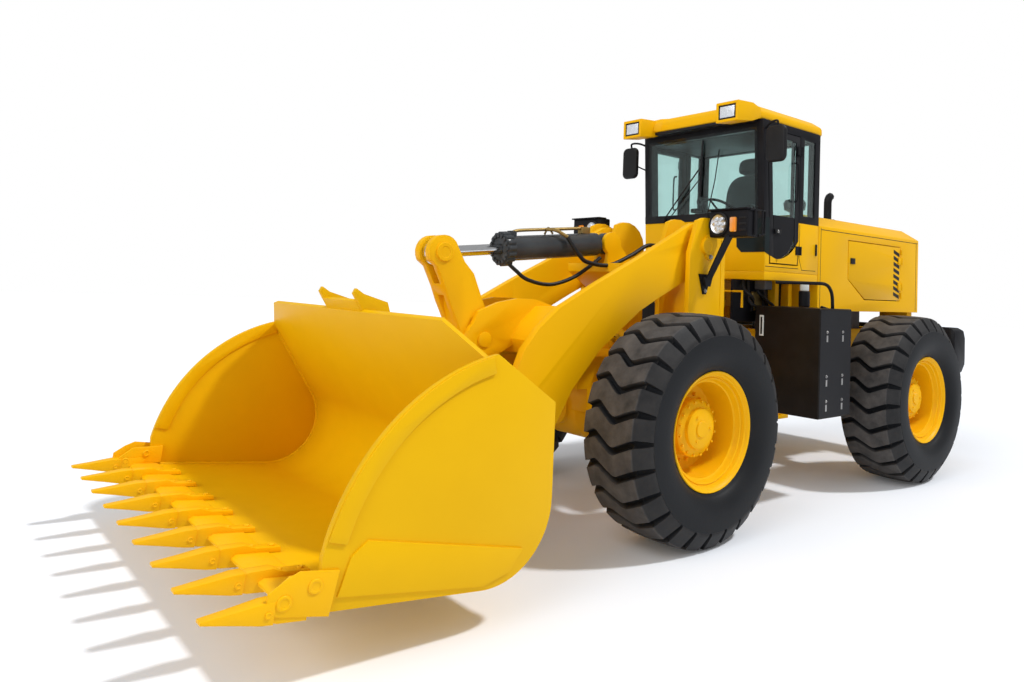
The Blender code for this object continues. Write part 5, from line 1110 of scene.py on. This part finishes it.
TUBES = (
    # name, body, finish, radius, sides, whether it is smoothed, points
    ("door_bar_%s", "cab_door_%s", BLACK, 0.009, 10, True, [
        (-0.27, 0.722, 2.62), (-0.27, 0.755, 2.64), (-0.27, 0.76, 2.80), (-0.27, 0.755, 2.96), (-0.27, 0.722, 2.98)]),
    ("wiper_arm", REAR, PLASTIC, 0.007, 8, False, [
        on_glass(-0.44, 2.45, 0.035), on_glass(-0.24, 2.66, 0.034), on_glass(0.02, 2.93, 0.026)]),
    ("wiper_arm_second", REAR, PLASTIC, 0.005, 8, False, [
        on_glass(-0.40, 2.43, 0.035), on_glass(-0.20, 2.62, 0.034), on_glass(0.03, 2.84, 0.026)]),
    ("wiper_blade", REAR, PLASTIC, 0.010, 8, False, [
        on_glass(0.01, 2.66, 0.016), on_glass(0.03, 2.90, 0.020), on_glass(0.05, 3.19, 0.016)]),
    ("wiper_arm_side", REAR, PLASTIC, 0.005, 8, False, [
        on_glass(0.10, 2.45, 0.032), on_glass(0.20, 2.80, 0.030), on_glass(0.25, 3.08, 0.024)]),
    ("headrest_post_%s", REAR, "chrome", 0.007, 8, False, [(-0.60, 0.07, 2.92), (-0.615, 0.07, 3.00)]),
    ("joystick", REAR, PLASTIC, 0.012, 10, True, [
        (-0.20, -0.345, 2.49), (-0.19, -0.345, 2.58), (-0.20, -0.345, 2.66)]),
    *(("lamp_guard_%s_" + word, FRONT, BLACK, 0.008, 8, False, [(x, 1.06, 2.43), (x, 1.06, 2.22)])
      for word, x in (("0", 0.80), ("10", 0.70))),
    ("lamp_guard_top_%s", FRONT, BLACK, 0.010, 8, False, [
        (0.86, 1.052, 2.425), (0.66, 1.052, 2.425), (0.66, 1.052, 2.24), (0.74, 1.052, 2.22)]),
    ("tower_weld_%s", FRONT, "yellow", 0.004, 6, False, [(0.70, FACE_Y, 0.92), (0.70, FACE_Y, 2.20)]),
    ("mirror_arm_%s", REAR, BLACK, 0.010, 10, True, [
        (0.26, 0.88, 3.21), (0.262, 0.88, 3.262), (0.24, 0.80, 3.262), (0.20, 0.722, 3.23)]),
    ("mirror_stay_%s", REAR, BLACK, 0.007, 8, True, [(0.255, 0.86, 3.06), (0.23, 0.80, 3.02), (0.19, 0.722, 2.98)]),
    ("tank_rail_%s", REAR, BLACK, 0.015, 10, True, [
        (0.02, 0.74, 1.868), (-0.10, 1.02, 1.868), (-0.20, 1.10, 1.862), (-0.28, 1.11, 1.80),
        (-0.305, 1.11, 1.70), (-0.305, 1.10, 1.64), (-0.16, 1.09, 1.66)]),
    ("step_frame_%s", REAR, "yellow", 0.012, 8, False, [
        (0.21, 0.52, 1.63), (0.21, 0.52, 1.775), (0.21, 0.315, 1.775), (0.21, 0.315, 1.63)]),
    ("lifting_eye_%s", REAR, BLACK, 0.014, 12, True, [
        (-3.05, 0.62, 1.455), (-3.05, 0.62, 1.51), (-3.05, 0.68, 1.54), (-3.05, 0.74, 1.51), (-3.05, 0.74, 1.455)]),
    ("cab_line_skirt_%s", REAR, "hose", 0.0028, 6, False, [(0.16, 0.7198, 2.005), (-0.36, 0.7198, 2.005)]),
    ("cab_line_flap_%s", REAR, "hose", 0.0028, 6, False, [
        (-0.375, 0.7198, 2.42), (-0.375, 0.7198, 2.10), (-0.42, 0.7198, 1.995), (-0.655, 0.7198, 1.995)]),
)

RODS = (
    # name, body, finish, radius, sides, softened edge, both ends
    ("wiper_hub", REAR, PLASTIC, 0.022, 20, 0.0, on_glass(-0.44, 2.45, 0.005),
     on_glass(-0.44, 2.45, 0.045)),
    ("wiper_hub_side", REAR, PLASTIC, 0.018, 20, 0.0, on_glass(0.10, 2.45, 0.005),
     on_glass(0.10, 2.45, 0.04)),
    ("door_button_%s", "cab_door_%s", "steel", 0.014, 20, 0.0, (0.0, 0.733, 2.322), (0.0, 0.746, 2.322)),
    ("filler_neck_%s", REAR, BLACK, 0.050, 28, 0.0, (-0.35, 0.80, 1.655), (-0.35, 0.80, 1.80)),
    ("filler_cap_%s", REAR, "white_plastic", 0.040, 28, 0.0, (-0.35, 0.80, 1.801), (-0.35, 0.80, 1.862)),
    *(("hood_hinge_%s_" + word, REAR, "yellow", 0.009, 14, 0.0, (-2.425, 0.712, z - 0.03),
       (-2.425, 0.712, z + 0.03)) for word, z in (("180", 1.80), ("227", 2.28))),
    ("tow_pin", REAR, "steel", 0.022, 24, 0.0, (-3.19, 0, 1.26), (-3.19, 0, 1.345)),
    *(("weight_plug_" + word + "_%s", REAR, "cast_iron", 0.045, 32, 0.002, (-3.213, y, 1.24),
       (-3.219, y, 1.24)) for word, y in (("inner", 0.30), ("outer", 0.92))),
)

UPRIGHT, AHEAD = None, (1, 0, 0)
LAMP_AT = (0.878, 0.765, 2.312)
TURNED = (
    # name, body, finish, sides, foot, direction, profile of radius and height
    ("seat_bellows", REAR, PLASTIC, 40, (-0.29, 0, 2.035), UPRIGHT, [
        (0, 0.0), (0.19, 0.0), (0.20, 0.01), *((0.20 - 0.022 * (i % 2), 0.02 + 0.024 * i) for i in range(9)),
        (0.16, 0.225), (0, 0.225)]),
    ("joystick_knob", REAR, PLASTIC, 24, (-0.20, -0.345, 2.675), UPRIGHT, [
        (0, -0.03), (0.018, -0.026), (0.024, 0.0), (0.020, 0.028), (0, 0.036)]),
    ("headlamp_ring_%s", FRONT, PLASTIC, 48, LAMP_AT, AHEAD, [
        (0.078, -0.002), (0.095, -0.002), (0.096, 0.014), (0.086, 0.019), (0.078, 0.014)]),
    ("headlamp_dish_%s", FRONT, "lamp_face", 48, LAMP_AT, AHEAD, [
        (0.0, -0.001), (0.078, -0.001), (0.078, 0.010), (0.060, 0.004), (0.03, 0.002), (0, 0.003)]),
    ("headlamp_lens_%s", FRONT, "clear", 48, LAMP_AT, AHEAD, [
        (0.0, 0.010), (0.079, 0.010), (0.079, 0.014), (0.05, 0.021), (0, 0.024)]),
    ("exhaust_cuff", REAR, BLACK, 40, (-2.08, 0, 2.565), UPRIGHT, [
        (0.046, 0.0), (0.062, 0.0), (0.066, 0.01), (0.062, 0.03), (0.052, 0.045), (0.046, 0.045)]),
    ("air_intake", REAR, PLASTIC, 40, (-1.40, 0.0, 2.562), UPRIGHT, [
        (0, 0), (0.05, 0), (0.05, 0.10), (0.11, 0.13), (0.12, 0.20), (0.10, 0.235), (0.03, 0.25), (0, 0.25)]),
)

# Outer faces of the hood and the tanks, and where the tanks' bolts are in XZ
HOOD_Y = 0.7003
TANK_Y = 1.20
TANK_BOLTS = [(x, z) for x in (-0.075, -0.33) for z in (1.445, 1.07, 0.86)]
PLATES = (
    # name, body, finish, layers of near y, far y and XZ outline
    ("door_corner_rear_%s", "cab_door_%s", "yellow", [
        (0.7205, 0.7265, [(-0.330, 2.040), (0.0, 2.040)] + arc((0.0, 2.50), 0.425, 270, 215, 10))]),
    ("door_foot_%s", "cab_door_%s", "yellow", [
        (0.7205, 0.7265, [(0.0, 2.040), (0.091, 2.040), (0.091, 2.100), (0.02, 2.078), (-0.02, 2.070)])]),
    ("door_panel_%s", "cab_door_%s", BLACK, [
        (0.704, 0.716, [(-0.30, 2.47), (-0.30, 2.33)] + arc((-0.03, 2.35), 0.262, 190, 270, 12)
         + [(0.040, 2.09), (0.040, 2.47)])]),
    ("lamp_foot_%s", FRONT, BLACK, [
        (FACE_Y, 0.672, [(0.84, 1.90), (0.99, 1.90), (0.935, 1.735), (0.905, 1.735)]),
        (0.668, 0.70, [(0.86, 1.875), (0.97, 1.875), (0.94, 1.80), (0.885, 1.80)])]),
    ("tank_slots_%s", REAR, "steel", [
        (TANK_Y - 0.004, TANK_Y + 0.003, rect(x - 0.012, z - 0.075, x + 0.012, z - 0.02)) for x, z in TANK_BOLTS]),
    ("tank_cover_%s", REAR, BLACK, [(TANK_Y - 0.002, TANK_Y + 0.0008, rect(-0.47, 0.735, 0.03, 1.64))]),
    # Near-black strips on the hood where its vent slots are: painted shade inside the slots.
    ("hood_vents_%s", "engine_door_%s", "hose", [
        (HOOD_Y, HOOD_Y + 0.002, [(-2.395, z - 0.004), (-2.395, z + 0.034), (-2.265, z + 0.070), (-2.265, z + 0.032)])
        for z in (2.232 - 0.066 * index for index in range(8))]),
    *(("hood_seam_" + word + "_%s", REAR, "hose", [(HOOD_Y - 0.002, HOOD_Y + 0.0008, rect(*corners))])
      for word, corners in (("front", (-0.783, 1.64, -0.777, 2.42)), ("lid", (-2.84, 2.402, -0.78, 2.408)),
                            ("rear", (-2.803, 1.64, -2.797, 2.40)))),
)


def each(*names):
    """The side and the names of each piece that a row stands for."""
    if "%s" not in names[0]:
        return [(1, *names)]
    return [(side, *(name.replace("%s", word) for name in names)) for word, side in SIDES]


def flip(point, side):
    return (point[0], side * point[1], point[2])


def make_tables():
    for name, body, finish, soft, (x0, x1), ys, (z0, z1) in BLOCKS:
        for side, piece, own_body, node in each(name, body, STANDS_FOR.get(name, "")):
            y0, y1 = sorted(side * y for y in ys)
            block(piece, (x0, y0, z0), (x1, y1, z1), own_body, finish, *soft,
                  replaced=(node,) if node else ())
    for name, body, finish, radius, steps, smooth, points in TUBES:
        for side, piece, own_body in each(name, body):
            tube(piece, [flip(p, side) for p in points], radius, own_body, finish, steps, smooth)
    for name, body, finish, radius, steps, edge, *ends in RODS:
        for side, piece, own_body in each(name, body):
            rod(piece, *(at(*flip(end, side)) for end in ends), radius, own_body, finish, steps, edge)
    for name, body, finish, steps, foot, direction, profile in TURNED:
        for side, piece, own_body in each(name, body):
            foot_at = at(*flip(foot, side))
            place = turn_to(foot_at, direction) if direction else Matrix.Translation(foot_at)
            lathe(piece, profile, own_body, finish, place, steps)
    for name, body, finish, layers in PLATES:
        for side, piece, own_body in each(name, body):
            bm = bmesh.new()
            for near, far, outline in layers:
                add_layer(bm, outline, side, near, far)
            new_piece(piece, bm, own_body, finish)


# Lamps, mirrors and trim

# The corners of the strut under the left headlamp
STRUT = ((0.83, 0.875, 2.215), (0.90, 0.862, 2.215), (0.94, 0.690, 1.835), (0.875, 0.690, 1.835))
GRILLE_BARS, GRILLE_PITCH = 13, 0.08
MIRROR_Y = 0.88
LAMP_BULBS, BULB_CIRCLE = 6, 0.045


def make_headlamp_details():
    """Bulbs, strut and bolt of each headlamp."""
    body = FRONT
    for word, side in SIDES:
        bm = bmesh.new()
        for y, z in circle(BULB_CIRCLE, LAMP_BULBS) + [(0.0, 0.0)]:
            place = (LAMP_AT[0] + 0.003, side * LAMP_AT[1] + y, LAMP_AT[2] + z)
            add_disc(bm, place, AHEAD, 0.017, 0.006, 16, BOLT_EDGE)
        new_piece("headlamp_bulbs_" + word, bm, body, "chrome")
        pane("lamp_strut_" + word, [flip(corner, side) for corner in STRUT], 0.016, body, BLACK)
        bolts("lamp_foot_bolt_" + word, [(0.918, side * 0.672, 1.765)], (0, side, 0), 0.011, 0.012, body)


def make_pin_keepers():
    """Keepers of the boom's pins with a bolt, and caps on the rocker's pins."""
    outline = [(0.775, 2.15)] + arc((0.86, 2.15), 0.085, 180, 0, 10)[1:] + [
        (0.945, 2.095)] + arc((0.86, 2.075), 0.06, 0, -180, 8)
    for word, side in SIDES:
        outward = (0, side, 0)
        bm = bmesh.new()
        add_layer(bm, outline, side, FACE_Y, FACE_Y + 0.016)
        add_disc(bm, (0.90, side * FACE_Y, 2.13), outward, 0.07, 0.03)
        new_piece("pin_keeper_" + word, bm, FRONT, "yellow")
        bolts("pin_keeper_bolt_" + word, [(0.86, side * (FACE_Y + 0.016), 2.045)], outward, 0.014, 0.016,
              FRONT)
        bm = bmesh.new()
        add_disc(bm, (3.05, side * 0.1002, 1.96), outward, 0.066, 0.014)
        add_disc(bm, (2.55, side * 0.1002, 0.84), outward, 0.055, 0.012)
        new_piece("rocker_caps_" + word, bm, "rocker", "yellow")


# The tilt cylinder's line, from its foot to the rocker
TILT_FOOT, TILT_TIP = Vector((1.42, 0, 2.13)), Vector((3.05, 0, 1.96))
TILT_AHEAD = (TILT_TIP - TILT_FOOT).normalized()
GLAND_AT, GLAND_RADIUS, GLAND_BOLTS = 1.10, 0.102, 16


def along(distance, up, out=0.0):
    """A point beside the tilt cylinder: distance from its foot, up square to it and out to the left."""
    across = Vector((-TILT_AHEAD.z, 0, TILT_AHEAD.x))
    point = TILT_FOOT + TILT_AHEAD * distance + across * up
    return (point.x, out, point.z)


# Ports: name, middle, half size, finish
PORTS = (
    ("tilt_port_front", along(0.98, 0.108), (0.03, 0.025, 0.025), "cylinder_grey"),
    ("tilt_port_rear", along(0.24, 0.118), (0.045, 0.028, 0.028), "brass"),
)
# Pipe and hoses: name, finish, radius, sides, points
TILT_LINES = (
    ("tilt_pipe", "brass", 0.013, 10, [
        along(0.98, 0.122), along(0.90, 0.135), along(0.60, 0.136), along(0.28, 0.136)]),
    ("tilt_pipe_band", "brass", 0.008, 8, [
        along(0.62, 0.10, -0.05), along(0.62, 0.148, 0.0), along(0.62, 0.10, 0.05)]),
    ("tilt_fitting", "brass", 0.014, 10, [
        along(0.66, 0.135, 0.02), along(0.60, 0.125, 0.07), along(0.52, 0.07, 0.112)]),
    ("tilt_hose_rear", "hose", 0.017, 12, [
        along(0.52, 0.07, 0.112), (1.85, 0.15, 2.01), (1.76, 0.16, 1.955), (1.53, 0.17, 1.945),
        (1.28, 0.17, 2.04), (1.10, 0.17, 2.13), (0.97, 0.17, 2.14)]),
    ("tilt_hose_front", "hose", 0.015, 12, [
        along(1.06, -0.10, 0.03), (2.40, 0.06, 1.86), (2.30, 0.08, 1.795), (2.10, 0.10, 1.765),
        (1.89, 0.11, 1.82), (1.73, 0.12, 1.91), (1.60, 0.13, 2.00)]),
)


def make_hydraulics():
    """Gland bolts, the pipe along the tilt cylinder and its two hoses."""
    body = "tilt_barrel"
    face = TILT_FOOT + TILT_AHEAD * GLAND_AT
    side = Vector((0, 1, 0))
    up = TILT_AHEAD.cross(side)
    bm = bmesh.new()
    for x, y in circle(GLAND_RADIUS, GLAND_BOLTS):
        spot = face + x * side + y * up
        outward = (spot - face).normalized()
        add_cone(bm, turn_to(at(*(spot - TILT_AHEAD * 0.030)), TILT_AHEAD), 6, 0.0155, 0.0150, 0.085)
        boss = spot + outward * 0.010 - TILT_AHEAD * 0.036
        add_cone(bm, turn_to(at(*boss), TILT_AHEAD), 12, 0.019, 0.019, 0.066)
    new_piece("tilt_gland_bolts", bm, body, "cylinder_grey", angle=25)
    for name, middle, half, finish in PORTS:
        middle, half = Vector(middle), Vector(half)
        block(name, middle - half, middle + half, body, finish, 0.006)
    for name, finish, radius, steps, points in TILT_LINES:
        tube(name, points, radius, body, finish, steps)


def round_plate(name, low, high, corner, body, finish, replaced=(), soft=None):
    """A plate that faces forward, with round corners."""
    low, high = Vector(low), Vector(high)
    size = high - low
    bm = bmesh.new()
    bmesh.ops.create_cube(bm, size=1.0)
    bm.transform(Matrix.Translation(at(*((low + high) / 2))) @ Matrix.Diagonal((*size, 1.0)))
    corners = [e for e in bm.edges if abs(e.verts[0].co.x - e.verts[1].co.x) > size.x / 2]
    bmesh.ops.bevel(bm, geom=corners, offset=corner, segments=8, profile=0.5, affect="EDGES")
    return new_piece(name, bm, body, finish, replaced=replaced, soft=soft)


def make_mirrors():
    for word, side in SIDES:
        y = side * MIRROR_Y
        round_plate("mirror_shell_" + word, (0.245, y - 0.100, 2.900), (0.295, y + 0.100, 3.220), 0.055,
                    REAR, PLASTIC, ("mirror_" + word,), (0.020, 4, 40))
        round_plate("mirror_face_" + word, (0.2425, y - 0.085, 2.915), (0.2455, y + 0.085, 3.205), 0.045,
                    REAR, "mirror")


def make_under_cab():
    """The hoses between the tower and the tank, and the low pane at the cab's near corner."""
    body = REAR
    for word, side in SIDES:
        for index, (x, z) in enumerate(((0.10, 1.80), (0.02, 1.70), (-0.12, 1.78), (-0.24, 1.72))):
            points = [(x, 0.44, 1.884), (x + 0.015, 0.47, z), (x - 0.05, 0.50, z - 0.06),
                      (x - 0.14, 0.46, z - 0.10), (x - 0.16, 0.43, z - 0.20)]
            tube("cab_hose_%s_%d" % (word, index), [flip(p, side) for p in points], 0.015, body, "hose", 10)
    for index, (x, y) in enumerate(((-0.20, 0.45), (-0.45, 0.30), (0.02, 0.15), (-0.30, -0.25))):
        points = [(x, y, 1.90), (x + 0.04, y + 0.03, 1.80), (x - 0.02, y, 1.68), (x + 0.02, y - 0.05, 1.44)]
        tube("under_hose_%d" % index, points, 0.018, body, "hose", 10)
    low, high = 2.13, 2.47
    front = [(0.42, high), (0.42, low + 0.05), (0.47, low), (0.7185, low), (0.7185, high)]
    beside = [(0.1005, 2.105), (windshield_x(2.13) + 0.003, 2.13), (windshield_x(2.44) + 0.003, 2.44),
              (0.115, 2.44)]
    bm = bmesh.new()
    skin(bm, [[at(*on_glass(y, z, off)) for y, z in front] for off in (0.004, 0.0005)])
    add_prism(bm, beside, 0.7202, 0.7235)
    new_piece("corner_pane", bm, body, "gloss_black")


def make_tank_bolts():
    for word, side in SIDES:
        spots = [(x, side * TANK_Y, z + 0.008) for x, z in TANK_BOLTS]
        bolts("tank_bolts_" + word, spots, (0, side, 0), 0.010, 0.008, REAR)


def make_grille():
    for index in range(GRILLE_BARS):
        y = (index - (GRILLE_BARS - 1) / 2) * GRILLE_PITCH
        block("grille_bar_%d" % index, (-2.812, y - 0.006, 1.70), (-2.800, y + 0.006, 2.36), REAR,
              "hose", 0.002)


# The counterweight's XZ outline, and its sections: y and the share of the full outline there
WEIGHT_OUTLINE = ((-2.90, 0.952), (-3.13, 0.952), (-3.205, 1.03), (-3.212, 1.10), (-3.212, 1.38),
                  (-3.175, 1.455), (-3.12, 1.468), (-2.90, 1.468))
WEIGHT_SECTIONS = ((-1.098, 0.80), (-1.085, 0.92), (-1.04, 1.0), (-0.19, 1.0), (0.19, 1.0), (1.04, 1.0),
                   (1.085, 0.92), (1.098, 0.80))
WEIGHT_MIDDLE = (-3.055, 1.21)
WEIGHT_FRONT_X = -2.95


def make_counterweight():
    """A cast block with sloped edges and rounded ends."""
    middle_x, middle_z = WEIGHT_MIDDLE
    sections = []
    for y, share in WEIGHT_SECTIONS:
        sections.append([at(
            middle_x + (x - middle_x) * (share if x < WEIGHT_FRONT_X else 1.0), y,
            middle_z + (z - middle_z) * share) for x, z in WEIGHT_OUTLINE])
    bm = bmesh.new()
    skin(bm, sections)
    new_piece("counterweight_form", bm, REAR, BLACK, replaced=("counterweight",), angle=35,
              soft=(0.008, 2, 25))


# Steel parts

# CAD nodes that keep their own form, by finish and bevel; a * stands for left and right
DRESSED = (
    ("yellow", 0.006, "boom rocker link"),
    ("yellow", 0.003, "rocker_pin link_pin bucket_pin_* lift_barrel_* steer_barrel_*"),
    ("yellow", 0.005, "front_frame rear_frame cab_platform"),
    ("yellow", 0.008, "front_axle rear_axle hood"),
    ("cast_iron", 0.01, "engine"),
    ("black_paint", 0.003, "exhaust"),
    ("cylinder_grey", 0.003, "tilt_barrel"),
    ("chrome", 0.002, "tilt_rod"),
    ("chrome", 0.003, "lift_rod_* steer_rod_*"),
    ("black_paint", 0.004, "cab_door_*"),
    ("yellow", 0.004, "engine_door_*"),
)
# Nodes whose body has another name than their own
BODIES = {
    "bucket_pin_left": "bucket_pins", "bucket_pin_right": "bucket_pins", "front_axle": "front_frame",
    "rear_axle": "rear_frame", "engine": "rear_frame", "hood": "rear_frame", "exhaust": "rear_frame",
    "cab_platform": "rear_frame",
}


def dress_parts():
    """The CAD nodes' own forms with softened edges, in their place."""
    for finish, bevel, names in DRESSED:
        for name in names.split():
            for node in [name.replace("*", word) for word, _ in SIDES] if "*" in name else [name]:
                new_piece(node + "_form", node_form(node), BODIES.get(node, node), finish, replaced=(node,),
                          soft=(bevel, 2, 30))


bpy.context.scene.view_settings.view_transform = "Standard"
make_camera()
make_lights()
make_floor()
make_wheels()
dress_parts()
make_cab_frame()
make_bucket()
make_teeth()
make_roof()
make_glass()
make_seat()
make_steering()
make_tables()
make_headlamp_details()
make_pin_keepers()
make_hydraulics()
make_mirrors()
make_under_cab()
make_tank_bolts()
make_grille()
make_counterweight()
